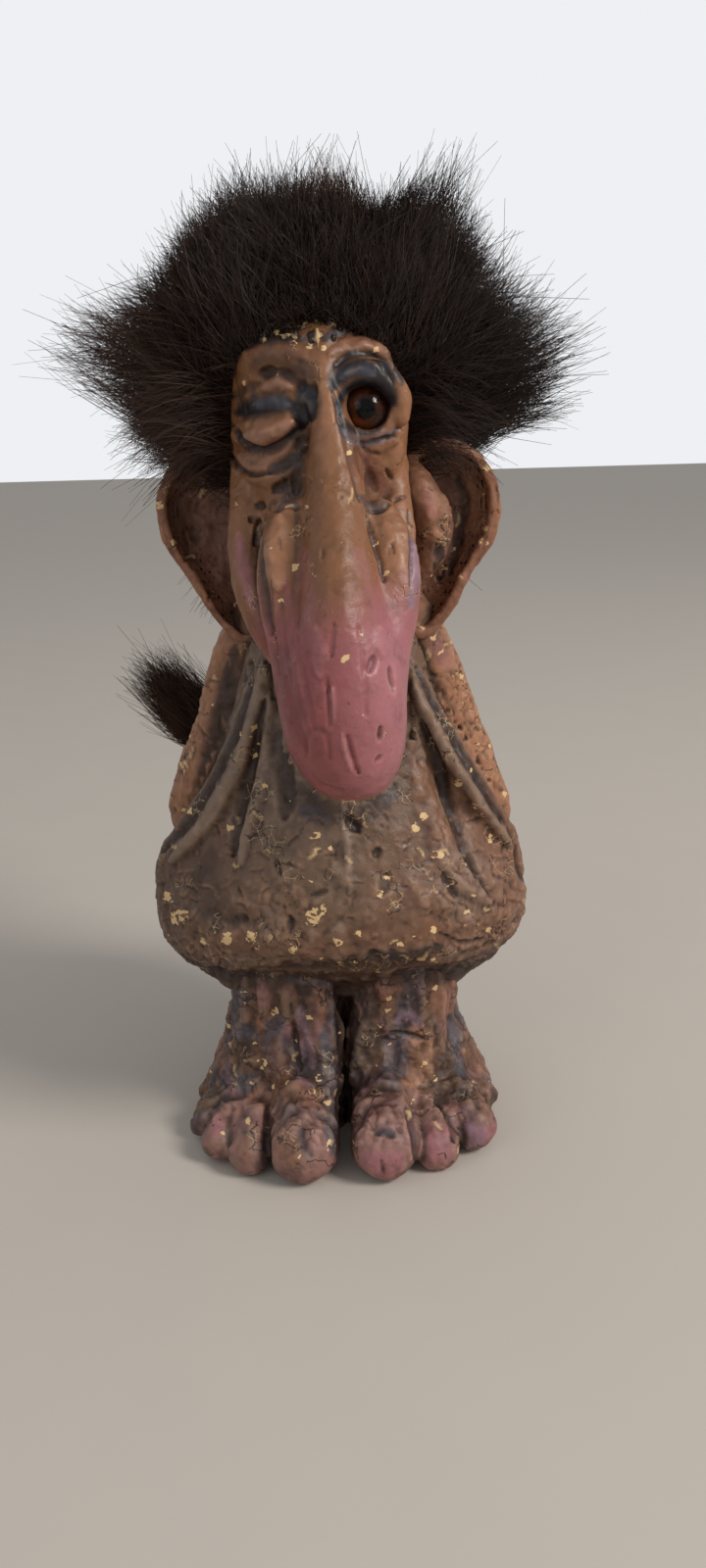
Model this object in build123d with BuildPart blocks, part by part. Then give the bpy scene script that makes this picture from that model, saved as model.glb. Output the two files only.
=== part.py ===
# A standing troll ornament about 20 cm tall to the scalp and 23 cm with its hair.
# Hollow painted rubber castings (body, legs, head, ears, arms and tail) are glued round two
# hard filler cores. It has one glass eye on a wire, the other eye is cast shut, and it wears
# a wig of long fur. The tail has a wire in it, bends at its root and ends in a fur tuft.
# Frame: millimetres, +Z up, the face looks along -Y, and the origin is on the table between
# the feet. Left and right are as seen from the front.
import math
import os

from build123d import *

os.makedirs("parts", exist_ok=True)

# Body: a sack of hanging skin over the belly, with a short neck spigot on top
leg_height = 34.0  # from the table to the underside of the belly
body_height = 102.0
belly_half_width = 48.3
belly_front = 41.0
belly_back = 37.0
skin_wall = 4.0
neck_radius = 8.0
neck_length = 9.0
fold_radius = 4.2  # the long skin folds that run down to the corners of the belly
inner_fold_radius = 3.0
filler_gap = 0.3  # between a casting and the hard filler inside it

# Legs and feet
leg_half_width = 15.5
leg_front = 17.5
leg_back = 24.0
leg_spacing = 15.0  # from the middle of the figure to the middle of a leg
leg_overlap = 20.0  # how far the legs reach up behind the belly
toe_spread = 40.0
toe_reach = 36.0
big_toe_radius = 7.8
plug_radius = 9.0
plug_height = 8.0
plug_gap = 0.1
plug_chamfer = 0.8
pour_depth = 24.0  # the pouring hole in the sole

# Head and nose
head_height = 82.0
head_half_width = 22.0
head_front = 25.0
head_back = 31.0
head_shift = -1.6  # the head sits a little to one side
head_wall = 3.6
chin_drop = 10.0  # how far the head reaches down over the neck
neck_gap = 0.1
nose_length = 94.0
nose_half_width = 14.2
nose_depth = 17.0
nose_reach = 47.0  # from the figure's middle to the middle of the nose's bulb
nostril_radius = 4.8  # the long wings beside the nose
jowl_radius = 4.6
brow_radius = 3.2
lid_radius = 4.4

# Eye
eye_radius = 5.0
eye_side = 9.0  # from the figure's middle to the eye
eye_rise = 56.2  # from the chin to the eye
eye_seat = 22.6  # from the figure's middle to the flat back of the glass
eye_gap = 0.15
iris_radius = 4.5
iris_thickness = 0.8
pupil_radius = 2.1
pupil_thickness = 0.3
stem_radius = 0.6
stem_length = 11.0
eyelid_radius = 3.3
eyelid_sweep = 8.3  # radius of the ring of lid round the eye

# Ears
ear_height = 45.5
ear_width = 20.4
ear_depth = 13.0
ear_wall = 2.2
ear_side = 20.8  # from the figure's middle to the inner edge of an ear
ear_rise = 3.0  # from the chin to the foot of an ear
ear_rim_front = 5.5  # how far the rim stands in front of the figure's middle
tragus_radius = 4.2

# Arms and hands, which meet behind the back
shoulder_side = 19.5
elbow_side = 36.6
elbow_back = 14.5
arm_radius = 9.6
wrist_side = 13.0
hand_offset = 6.2  # one hand lies above the other
hand_back = 43.5
hand_radius = 6.2
finger_radius = 2.3
finger_length = 11.0

# Wig of long fur
hide_thickness = 1.4
hide_gap = 0.1
hairline_rise = 73.0  # from the chin to the hairline over the forehead
hairline_slope = 52.0  # degrees, from the forehead down behind the ears
fur_rise = 24.0  # from the chin to the lowest fur behind the ears
fur_height = 84.0
fur_half_width = 50.0
fur_front = 26.0
fur_back = 41.0
fur_gap = 0.3
lock_radius = 19.0
lock_reach = 64.0
lock_rise = 73.0
glue_radius = 1.1

# Tail
tail_lift = 12.0  # from the underside of the belly to the tail
tail_radius = 4.0
tail_reach = 19.0  # how far the tail stands out behind its root
tail_side = 36.0
tail_rise = 47.0
tail_gap = 0.3  # running gap between the tail's root and its socket
socket_radius = 6.4
socket_length = 5.0
tail_wire_radius = 0.8
wire_gap = 0.1
tuft_radius = 7.4
binding_width = 4.0
binding_thickness = 0.7
binding_gap = 0.1

cut_margin = 1.0  # overrun of every cut past the face that it goes through

# Heights and depths that other pieces stand on
body_top = leg_height + body_height
head_base = body_top - chin_drop
eye_height = head_base + eye_rise
ear_bottom = head_base + ear_rise
shoulder_height = leg_height + 0.94 * body_height
elbow_height = leg_height + 0.44 * body_height
hand_height = leg_height + 0.38 * body_height
hairline_height = head_base + hairline_rise
fur_base_height = head_base + fur_rise
tail_height = leg_height + tail_lift
socket_back = 0.93 * belly_back
tail_root = (0, socket_back + socket_length, tail_height)

# Level tables: height, half width, front and back, each a share of the casting's own size
body_level_shares = [
    (0.00, 0.56, 0.29, 0.64),
    (0.06, 0.79, 0.37, 0.84),
    (0.13, 0.92, 0.52, 0.94),
    (0.19, 0.98, 0.81, 0.99),
    (0.26, 1.00, 0.98, 1.00),
    (0.33, 0.99, 1.00, 1.00),
    (0.40, 0.94, 0.98, 1.00),
    (0.53, 0.75, 0.85, 0.95),
    (0.67, 0.58, 0.71, 0.87),
    (0.80, 0.49, 0.60, 0.79),
    (0.92, 0.42, 0.50, 0.71),
    (1.00, 0.35, 0.38, 0.58),
]
leg_level_shares = [
    (0.00, 1.32, 1.36, 1.25),
    (0.15, 1.27, 1.26, 1.20),
    (0.35, 1.12, 1.08, 1.08),
    (0.55, 1.00, 0.98, 1.00),
    (1.00, 1.00, 0.92, 1.00),
]
head_level_shares = [
    (0.00, 0.55, 0.40, 0.45),
    (0.10, 0.77, 0.76, 0.71),
    (0.24, 0.91, 0.92, 0.87),
    (0.41, 0.98, 1.00, 0.97),
    (0.61, 1.00, 1.00, 1.00),
    (0.78, 0.96, 0.97, 0.98),
    (0.90, 0.84, 0.86, 0.87),
    (0.98, 0.59, 0.60, 0.61),
    (1.00, 0.39, 0.38, 0.39),
]
fur_level_shares = [
    (0.00, 0.30, 0.08, 0.56),
    (0.08, 0.53, 0.20, 0.80),
    (0.19, 0.70, 0.34, 0.93),
    (0.33, 0.86, 0.58, 1.00),
    (0.48, 0.95, 0.85, 1.00),
    (0.62, 0.97, 1.04, 0.99),
    (0.75, 0.90, 1.08, 0.92),
    (0.87, 0.72, 0.94, 0.76),
    (0.95, 0.49, 0.66, 0.53),
    (1.00, 0.24, 0.34, 0.27),
]
# The nose: drop from its root, half width, half depth, reach forward and shift sideways
nose_level_shares = [
    (0.00, 0.16, 0.28, 0.43, 0.00),
    (0.09, 0.22, 0.36, 0.50, 0.01),
    (0.20, 0.31, 0.48, 0.58, 0.05),
    (0.34, 0.47, 0.68, 0.68, 0.12),
    (0.48, 0.68, 0.88, 0.79, 0.15),
    (0.60, 0.86, 1.00, 0.89, 0.16),
    (0.72, 1.00, 1.00, 0.96, 0.14),
    (0.82, 0.97, 0.94, 1.00, 0.16),
    (0.91, 0.81, 0.76, 1.01, 0.22),
    (0.97, 0.56, 0.52, 1.01, 0.28),
    (1.00, 0.24, 0.24, 1.01, 0.32),
]
# A toe: side and reach of its tip, its size, then side and reach of its root
toe_shares = [
    (0.27, 1.00, 1.00, 0.30, 0.40),
    (0.61, 0.95, 0.66, 0.48, 0.38),
    (0.81, 0.78, 0.58, 0.58, 0.30),
    (0.90, 0.50, 0.54, 0.60, 0.14),
]
# Folds on the body: height and side on the body's own outline, then size
outer_fold_shares = [
    (0.93, 0.74, 0.70),
    (0.80, 0.80, 0.90),
    (0.67, 0.84, 1.00),
    (0.55, 0.88, 1.10),
    (0.44, 0.91, 1.00),
    (0.35, 0.92, 0.70),
]
inner_fold_shares = [
    (0.88, 0.40, 0.80),
    (0.72, 0.42, 1.00),
    (0.56, 0.45, 1.10),
    (0.42, 0.48, 0.80),
]
# Soft forms of the face: side, front and height on the head, then size
left_nostril_shares = [
    (-0.34, 1.20, 0.45, 0.65),
    (-0.54, 1.26, 0.38, 0.90),
    (-0.56, 1.38, 0.27, 1.00),
    (-0.52, 1.50, 0.17, 0.95),
    (-0.40, 1.60, 0.05, 0.80),
]
right_nostril_shares = [
    (0.57, 1.20, 0.45, 0.65),
    (0.80, 1.24, 0.38, 0.90),
    (0.85, 1.34, 0.29, 1.00),
    (0.82, 1.44, 0.20, 0.95),
    (0.72, 1.56, 0.10, 0.80),
]
left_jowl_shares = [
    (-0.84, 0.52, 0.51, 0.80),
    (-0.84, 0.76, 0.37, 1.00),
    (-0.77, 0.94, 0.24, 1.00),
    (-0.61, 1.08, 0.13, 0.90),
    (-0.47, 1.16, 0.05, 0.80),
]
right_jowl_shares = [
    (0.86, 0.52, 0.51, 0.80),
    (0.88, 0.76, 0.37, 1.00),
    (0.86, 0.94, 0.24, 1.00),
    (0.78, 1.08, 0.12, 0.85),
]
left_brow_shares = [
    (-0.70, 0.48, 0.80, 0.80),
    (-0.40, 0.78, 0.84, 1.00),
    (-0.06, 0.86, 0.81, 0.90),
]
right_brow_shares = [
    (0.19, 0.86, 0.79, 0.80),
    (0.48, 0.78, 0.86, 1.00),
    (0.75, 0.50, 0.79, 0.80),
]
closed_lid_shares = [
    (-0.77, 0.62, 0.62, 0.30),
    (-0.52, 0.83, 0.62, 1.00),
    (-0.20, 0.96, 0.62, 0.35),
]
# Dried glue along the hairline over the forehead
glue_shares = [
    (-0.60, 0.66, 0.88, 0.80),
    (-0.35, 0.84, 0.88, 1.00),
    (-0.10, 0.90, 0.88, 1.00),
    (0.12, 0.91, 0.88, 0.80),
]
# Outline of an ear from the front: side and height from its inner lower corner
ear_outline_shares = [
    (0.16, 0.00),
    (0.49, 0.20),
    (0.91, 0.50),
    (1.00, 0.74),
    (0.79, 0.92),
    (0.40, 1.00),
    (0.06, 0.94),
    (0.00, 0.50),
]
# An arm: its course from shoulder to elbow, then from elbow to wrist, and its size
upper_arm_shares = [(0.00, 0.80), (0.50, 0.88), (1.00, 1.00)]
forearm_shares = [(0.50, 0.80), (1.00, 0.62)]
# A lock of fur: side and height on its own reach, then size
left_lock_shares = [(0.60, 1.02, 0.95), (0.77, 1.01, 0.72), (0.90, 0.99, 0.42), (1.00, 0.97, 0.18)]
right_lock_shares = [(0.56, 0.97, 0.84), (0.70, 0.96, 0.70), (0.83, 0.95, 0.34)]
# The tail: side, reach and rise from its root, then size
tail_shares = [
    (0.00, 0.00, 0.00, 0.92),
    (0.11, 0.55, 0.04, 0.92),
    (0.44, 1.00, 0.22, 0.84),
    (0.80, 0.94, 0.58, 0.70),
    (1.00, 0.68, 0.95, 0.60),
]
# The tuft at its end, measured the same way
tuft_shares = [
    (1.03, 0.64, 1.01, 0.28),
    (1.10, 0.58, 1.08, 0.80),
    (1.21, 0.48, 1.17, 1.00),
    (1.33, 0.36, 1.25, 0.75),
    (1.43, 0.25, 1.32, 0.25),
]


def egg_stack(level_shares, base, height, half_width, front, back, middle=(0, 0), inset=0):
    """A closed form lofted through level egg-shaped outlines, drawn in by an even inset."""
    levels = []
    for height_share, width_share, front_share, back_share in level_shares:
        level = base + inset + height_share * (height - 2 * inset)
        side = width_share * half_width - inset
        ahead = front_share * front - inset
        behind = back_share * back - inset
        with BuildSketch(Plane.XY.offset(level)) as outline:
            with BuildLine():
                EllipticalCenterArc(middle, side, behind, 0, arc_size=180)
                EllipticalCenterArc(middle, side, ahead, 180, arc_size=180)
            make_face()
        levels.append(outline.sketch)
    return loft(levels, mode=Mode.PRIVATE)


def limb(stations, reference=(0, 1, 0), flatness=1.0):
    """A tapering limb with rounded ends, lofted along a smooth course through stations."""
    points = [Vector(*point) for point, radius in stations]
    radii = [radius for point, radius in stations]
    course = Edge.make_spline(points) if len(points) > 2 else Edge.make_line(*points)
    reached = [0]
    for before, after in zip(points, points[1:]):
        reached.append(reached[-1] + (after - before).length)
    steps = max(2, round(0.7 * course.length * len(radii) / sum(radii)))
    rings = []
    for step in range(steps + 1):
        share = step / steps
        travel = share * reached[-1]
        radius = radii[-1]
        for start, end, near, far in zip(reached, reached[1:], radii, radii[1:]):
            if start <= travel < end:
                radius = near + (far - near) * (travel - start) / (end - start)
        rings.append((course.position_at(share), course.tangent_at(share), radius))
    start_way = course.tangent_at(0)
    end_way = course.tangent_at(1)
    for angle in (52, 22):  # the rounded ends
        back_off = math.cos(math.radians(angle))
        draw_in = math.sin(math.radians(angle))
        start = points[0] - start_way * radii[0] * back_off
        end = points[-1] + end_way * radii[-1] * back_off
        rings.insert(0, (start, start_way, radii[0] * draw_in))
        rings.append((end, end_way, radii[-1] * draw_in))
    faces = []
    for point, way, radius in rings:
        across = Vector(*reference).cross(way).normalized()
        with BuildSketch(Plane(origin=point, x_dir=across, z_dir=way)) as ring:
            Ellipse(radius, radius * flatness)
        faces.append(ring.sketch)
    return loft(faces, mode=Mode.PRIVATE)


def body_point(side, height_share, side_share):
    """A point on the front of the body's outline at one height."""
    for lower, upper in zip(body_level_shares, body_level_shares[1:]):
        if lower[0] <= height_share <= upper[0]:
            way = (height_share - lower[0]) / (upper[0] - lower[0])
            width_share = lower[1] + way * (upper[1] - lower[1])
            front_share = lower[2] + way * (upper[2] - lower[2])
    across = side * side_share * width_share * belly_half_width
    ahead = math.sqrt(1 - side_share**2) * front_share * belly_front
    return (across, -ahead, leg_height + height_share * body_height)


def body_fold(side, shares, radius):
    """One fold of hanging skin down the front of the body."""
    stations = []
    for height_share, side_share, size_share in shares:
        stations.append((body_point(side, height_share, side_share), radius * size_share))
    return limb(stations)


def face_form(shares, radius, level=False):
    """One soft form of the face, laid through points on the head."""
    stations = []
    for side_share, front_share, height_share, size_share in shares:
        place = (
            head_shift + side_share * head_half_width,
            -front_share * head_front,
            head_base + height_share * head_height,
        )
        stations.append((place, radius * size_share))
    return limb(stations, reference=(0, 0, 1) if level else (0, 1, 0))


def between(start, end, share):
    """The point a share of the way from one point to another."""
    return tuple(a + share * (b - a) for a, b in zip(start, end))


def finish(sub_part, name):
    """Labels one sub-part and writes it."""
    sub_part.label = name
    export_step(sub_part, f"parts/{name}.step")


# Forms that more than one piece is cut from
body_sizes = (leg_height, body_height, belly_half_width, belly_front, belly_back)
body_form = egg_stack(body_level_shares, *body_sizes)
body_cavity = egg_stack(body_level_shares, *body_sizes, inset=skin_wall)
body_core = egg_stack(body_level_shares, *body_sizes, inset=skin_wall + filler_gap)
outer_folds = [body_fold(side, outer_fold_shares, fold_radius) for side in (-1, 1)]
inner_folds = [body_fold(side, inner_fold_shares, inner_fold_radius) for side in (-1, 1)]

head_sizes = (head_base, head_height, head_half_width, head_front, head_back)
head_middle = (head_shift, 0)
head_form = egg_stack(head_level_shares, *head_sizes, middle=head_middle)
head_cavity = egg_stack(head_level_shares, *head_sizes, middle=head_middle, inset=head_wall)
head_core = egg_stack(
    head_level_shares, *head_sizes, middle=head_middle, inset=head_wall + filler_gap
)
left_brow = face_form(left_brow_shares, brow_radius, level=True)
right_brow = face_form(right_brow_shares, brow_radius, level=True)

# Body casting: sack, folds, neck spigot and the cup that the tail turns in
with BuildPart() as body_casting:
    add(body_form)
    for fold in outer_folds + inner_folds:
        add(fold)
    with BuildSketch(Plane.XY.offset(body_top - skin_wall)):
        Circle(neck_radius)
    extrude(amount=skin_wall + neck_length)
    with BuildSketch(Plane.XZ.offset(-socket_back)):
        with Locations((0, tail_height)):
            Circle(socket_radius)
    extrude(amount=-socket_length, taper=10)
    add(body_cavity, mode=Mode.SUBTRACT)
    with Locations(tail_root):
        Sphere(tail_radius + tail_gap, mode=Mode.SUBTRACT)
finish(body_casting.part, "body_casting")

with BuildPart() as body_filler:
    add(body_core)
finish(body_filler.part, "body_filler")


def toe(side, place):
    """One toe of a foot, rounded at its tip and flat under the sole."""
    tip_side, tip_reach, size_share, root_side, root_reach = place
    radius = big_toe_radius * size_share
    height = radius * 0.92
    tip = (side * tip_side * toe_spread, -tip_reach * toe_reach, height)
    root = (side * root_side * toe_spread, -root_reach * toe_reach, height * 1.25)
    return limb([(root, radius), (between(root, tip, 0.6), radius * 0.96), (tip, radius)])


# Legs casting: two feet with eight toes, and a pouring hole in the sole
with BuildPart() as legs_casting:
    for side in (-1, 1):
        leg_sizes = (0, leg_height + leg_overlap, leg_half_width, leg_front, leg_back)
        add(egg_stack(leg_level_shares, *leg_sizes, middle=(side * leg_spacing, 0)))
        for place in toe_shares:
            add(toe(side, place))
    split(bisect_by=Plane.XY, keep=Keep.TOP)
    add(body_form, mode=Mode.SUBTRACT)
    with BuildSketch(Plane.XY):
        Circle(plug_radius)
    extrude(amount=pour_depth, mode=Mode.SUBTRACT)
finish(legs_casting.part, "legs_casting")

with BuildPart() as sole_plug:
    with BuildSketch(Plane.XY):
        Circle(plug_radius - plug_gap)
    extrude(amount=plug_height)
    chamfer(sole_plug.edges().group_by(Axis.Z)[-1], plug_chamfer)
finish(sole_plug.part, "sole_plug")


def nose():
    """The long hanging nose, widening to a bulb in front of the chest."""
    levels = []
    for drop, width_share, depth_share, reach_share, shift_share in nose_level_shares:
        level = head_base + 0.855 * head_height - drop * nose_length
        middle = (shift_share * nose_half_width, -reach_share * nose_reach)
        with BuildSketch(Plane.XY.offset(level)) as outline:
            with Locations(middle):
                Ellipse(width_share * nose_half_width, depth_share * nose_depth)
        levels.append(outline.sketch)
    return loft(levels, mode=Mode.PRIVATE)


def eyelid(start, end, size_share):
    """Part of the ring of lid round the glass eye, between two angles in degrees."""
    stations = []
    for step in range(5):
        angle = math.radians(start + (end - start) * step / 4)
        place = (
            eye_side + eyelid_sweep * math.cos(angle),
            -eye_seat,
            eye_height + eyelid_sweep * size_share * math.sin(angle),
        )
        swell = 0.6 + 0.4 * math.sin(math.pi * step / 4)
        stations.append((place, eyelid_radius * size_share * swell))
    return limb(stations)


eye_front_plane = Plane(
    origin=(eye_side, -eye_seat - eye_radius - cut_margin, eye_height),
    x_dir=(1, 0, 0),
    z_dir=(0, -1, 0),
)
# Head casting: skull, nose, nostril wings, jowls, brows, lids and the socket of the glass eye
with BuildPart() as head_casting:
    add(head_form)
    add(nose())
    add(face_form(left_nostril_shares, nostril_radius))
    add(face_form(right_nostril_shares, nostril_radius))
    add(face_form(left_jowl_shares, jowl_radius))
    add(face_form(right_jowl_shares, jowl_radius))
    add(left_brow)
    add(right_brow)
    add(face_form(closed_lid_shares, lid_radius, level=True))
    add(eyelid(10, 170, 1.0))
    add(eyelid(200, 340, 0.66))
    add(body_form, mode=Mode.SUBTRACT)
    for fold in outer_folds + inner_folds:
        add(fold, mode=Mode.SUBTRACT)
    add(head_cavity, mode=Mode.SUBTRACT)
    with BuildSketch(Plane.XY.offset(body_top - skin_wall)):
        Circle(neck_radius + neck_gap)
    extrude(amount=skin_wall + neck_length + neck_gap, mode=Mode.SUBTRACT)
    with Locations(eye_front_plane):
        CounterBoreHole(
            radius=stem_radius + wire_gap,
            counter_bore_radius=eye_radius + eye_gap,
            counter_bore_depth=cut_margin + eye_radius + iris_thickness + eye_gap,
            depth=eye_radius + head_wall * 3,
        )
finish(head_casting.part, "head_casting")

with BuildPart() as head_filler:
    add(head_core)
    split(bisect_by=Plane.XY.offset(body_top + filler_gap), keep=Keep.TOP)
    with BuildSketch(Plane.XY.offset(body_top)):
        Circle(neck_radius + filler_gap)
    extrude(amount=neck_length + filler_gap, mode=Mode.SUBTRACT)
    with BuildSketch(Plane.XZ.offset(eye_seat)):
        with Locations((eye_side, eye_height)):
            Circle(stem_radius + wire_gap)
    extrude(amount=-(iris_thickness + stem_length + wire_gap), mode=Mode.SUBTRACT)
finish(head_filler.part, "head_filler")

# The glass eye: a clear dome on a painted disc with a pupil, held by a wire stem
with BuildPart() as eye_glass:
    with Locations((eye_side, -eye_seat, eye_height)):
        Sphere(eye_radius)
    split(bisect_by=Plane.XZ.offset(eye_seat), keep=Keep.TOP)
finish(eye_glass.part, "eye_glass")

with BuildPart() as eye_iris:
    with BuildSketch(Plane.XZ.offset(eye_seat)):
        with Locations((eye_side, eye_height)):
            Circle(iris_radius)
    extrude(amount=-iris_thickness)
    with BuildSketch(Plane.XZ.offset(eye_seat)):
        with Locations((eye_side, eye_height)):
            Circle(pupil_radius)
    extrude(amount=-pupil_thickness, mode=Mode.SUBTRACT)
finish(eye_iris.part, "eye_iris")

with BuildPart() as eye_pupil:
    with BuildSketch(Plane.XZ.offset(eye_seat)):
        with Locations((eye_side, eye_height)):
            Circle(pupil_radius)
    extrude(amount=-pupil_thickness)
finish(eye_pupil.part, "eye_pupil")

with BuildPart() as eye_stem:
    with BuildSketch(Plane.XZ.offset(eye_seat - iris_thickness)):
        with Locations((eye_side, eye_height)):
            Circle(stem_radius)
    extrude(amount=-stem_length)
finish(eye_stem.part, "eye_stem")


def ear_stack(side, levels):
    """A closed ear form lofted back from the rim; a level is a depth and two sizes."""
    outlines = []
    for depth, width, height in levels:
        points = []
        for side_share, height_share in ear_outline_shares:
            across = ear_side + 0.42 * ear_width + (side_share - 0.42) * width
            up = ear_bottom + 0.56 * ear_height + (height_share - 0.56) * height
            points.append((side * across, up))
        with BuildSketch(Plane.XZ.offset(ear_rim_front - depth)) as outline:
            with BuildLine():
                Spline(*points, periodic=True)
            make_face()
        outlines.append(outline.sketch)
    return loft(outlines, mode=Mode.PRIVATE)


def ear_form(side, grow=0):
    """The solid outer form of one ear, grown by a gap where it is used as a cut."""
    levels = []
    for depth_share, size_share in ((0.0, 1.0), (0.35, 0.98), (0.75, 0.80), (1.0, 0.52)):
        depth = depth_share * (ear_depth + 2 * grow) - grow
        width = size_share * ear_width + 2 * grow
        levels.append((depth, width, size_share * ear_height + 2 * grow))
    return ear_stack(side, levels)


def ear_bowl(side):
    """The hollow of one ear, open at its rim."""
    levels = []
    for depth_share, size_share in ((0.0, 1.0), (0.4, 0.92), (0.8, 0.68), (1.0, 0.40)):
        depth = depth_share * (ear_depth - ear_wall)
        width = size_share * (ear_width - 2 * ear_wall)
        levels.append((depth, width, size_share * (ear_height - 2 * ear_wall)))
    return ear_stack(side, levels)


# The ears: open bowls glued to the sides of the head
with BuildPart() as left_ear:
    add(ear_form(-1))
    add(ear_bowl(-1), mode=Mode.SUBTRACT)
    add(head_form, mode=Mode.SUBTRACT)
    add(head_casting.part, mode=Mode.SUBTRACT)
finish(left_ear.part, "left_ear")

with BuildPart() as right_ear:
    add(ear_form(1))
    add(ear_bowl(1), mode=Mode.SUBTRACT)
    with Locations((ear_side + tragus_radius, -ear_rim_front, ear_bottom + 0.8 * ear_height)):
        Sphere(tragus_radius)
    add(head_form, mode=Mode.SUBTRACT)
    add(head_casting.part, mode=Mode.SUBTRACT)
finish(right_ear.part, "right_ear")


def arm_form(level):
    """The right arm from the shoulder to the fingertips, folded behind the back."""
    shoulder = (shoulder_side, 0.4 * elbow_back, shoulder_height)
    elbow = (elbow_side, elbow_back, elbow_height)
    wrist = (wrist_side, 0.96 * hand_back, level)
    palm = (-0.2 * wrist_side, hand_back + 0.4 * hand_radius, level)
    stations = []
    for share, size_share in upper_arm_shares:
        stations.append((between(shoulder, elbow, share), arm_radius * size_share))
    for share, size_share in forearm_shares:
        course = between(elbow, wrist, share)
        bulge = math.sin(math.pi * share) * arm_radius * 0.4
        place = (course[0] + 0.5 * bulge, course[1] + bulge, course[2])
        stations.append((place, arm_radius * size_share))
    stations.append((palm, hand_radius))
    with BuildPart() as form:
        add(limb(stations))
        for finger in (-1.5, -0.5, 0.5, 1.5):
            rise = finger * finger_radius * 1.9
            knuckle = (palm[0], palm[1] + 0.1 * hand_radius, palm[2] + rise)
            reach = finger_length + hand_radius - abs(finger) * finger_radius
            tip = (palm[0] - reach, palm[1] - 0.2 * hand_radius, palm[2] + rise)
            add(limb([(knuckle, finger_radius), (tip, finger_radius)]))
    return form.part


# The arms: glued along the body's sides, hands one above the other behind the back
with BuildPart() as left_arm:
    add(arm_form(hand_height + hand_offset).mirror(Plane.YZ))
    add(body_casting.part, mode=Mode.SUBTRACT)
    add(body_form, mode=Mode.SUBTRACT)
    add(head_form, mode=Mode.SUBTRACT)
    add(ear_form(-1, fur_gap), mode=Mode.SUBTRACT)
finish(left_arm.part, "left_arm")

with BuildPart() as right_arm:
    add(arm_form(hand_height - hand_offset))
    add(body_casting.part, mode=Mode.SUBTRACT)
    add(body_form, mode=Mode.SUBTRACT)
    add(head_form, mode=Mode.SUBTRACT)
    add(ear_form(1, fur_gap), mode=Mode.SUBTRACT)
    add(left_arm.part, mode=Mode.SUBTRACT)
finish(right_arm.part, "right_arm")

# The wig: a thin hide over the scalp that carries the long fur
scalp_form = egg_stack(head_level_shares, *head_sizes, middle=head_middle, inset=-hide_gap)
hide_form = egg_stack(
    head_level_shares, *head_sizes, middle=head_middle, inset=-(hide_gap + hide_thickness)
)
hide_clearance = egg_stack(
    head_level_shares,
    *head_sizes,
    middle=head_middle,
    inset=-(hide_gap + hide_thickness + fur_gap),
)
hairline = Plane(
    origin=(0, -0.86 * head_front, hairline_height),
    z_dir=(0, math.sin(math.radians(hairline_slope)), math.cos(math.radians(hairline_slope))),
)
ear_clearance = [ear_form(side, fur_gap) for side in (-1, 1)]
with BuildPart() as wig_hide:
    add(hide_form)
    split(bisect_by=hairline, keep=Keep.TOP)
    add(scalp_form, mode=Mode.SUBTRACT)
    add(head_casting.part, mode=Mode.SUBTRACT)
    for clearance in ear_clearance:
        add(clearance, mode=Mode.SUBTRACT)
finish(wig_hide.part, "wig_hide")

with BuildPart() as hairline_glue:
    add(face_form(glue_shares, glue_radius, level=True))
    add(head_casting.part, mode=Mode.SUBTRACT)
    add(wig_hide.part, mode=Mode.SUBTRACT)
finish(hairline_glue.part, "hairline_glue")

fur_sizes = (fur_base_height, fur_height, fur_half_width, fur_front, fur_back)
fur_middle = (head_shift, 4 * hide_thickness)
crown_form = egg_stack(fur_level_shares, *fur_sizes, middle=fur_middle)
crown_clearance = egg_stack(fur_level_shares, *fur_sizes, middle=fur_middle, inset=-fur_gap)
face_clearance = [
    face_form(left_brow_shares, brow_radius + fur_gap, level=True),
    face_form(right_brow_shares, brow_radius + fur_gap, level=True),
    face_form(glue_shares, glue_radius + fur_gap, level=True),
]


def lock_form(side, shares):
    """A side lock of fur that stands out from the head."""
    stations = []
    for side_share, height_share, size_share in shares:
        place = (side * side_share * lock_reach, fur_middle[1], head_base + height_share * lock_rise)
        stations.append((place, lock_radius * size_share))
    return limb(stations, flatness=0.9)


with BuildPart() as fur_crown:
    add(crown_form)
    add(hide_clearance, mode=Mode.SUBTRACT)
    for clearance in face_clearance + ear_clearance:
        add(clearance, mode=Mode.SUBTRACT)
finish(fur_crown.part, "fur_crown")

with BuildPart() as fur_left:
    add(lock_form(-1, left_lock_shares))
    add(crown_clearance, mode=Mode.SUBTRACT)
    add(hide_clearance, mode=Mode.SUBTRACT)
    for clearance in ear_clearance:
        add(clearance, mode=Mode.SUBTRACT)
finish(fur_left.part, "fur_left")

with BuildPart() as fur_right:
    add(lock_form(1, right_lock_shares))
    add(crown_clearance, mode=Mode.SUBTRACT)
    add(hide_clearance, mode=Mode.SUBTRACT)
    for clearance in ear_clearance:
        add(clearance, mode=Mode.SUBTRACT)
finish(fur_right.part, "fur_right")


def tail_place(side_share, reach_share, rise_share):
    """A point on the tail's course, from its root."""
    return (
        tail_root[0] - side_share * tail_side,
        tail_root[1] + reach_share * tail_reach,
        tail_root[2] + rise_share * tail_rise,
    )


tail_stations = []
for side_share, reach_share, rise_share, size_share in tail_shares:
    tail_stations.append((tail_place(side_share, reach_share, rise_share), size_share))
tuft_stations = []
for side_share, reach_share, rise_share, size_share in tuft_shares:
    tuft_stations.append((tail_place(side_share, reach_share, rise_share), size_share))
tail_tip = Vector(*tail_stations[-1][0])
tail_way = (tail_tip - Vector(*tail_stations[-2][0])).normalized()


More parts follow.
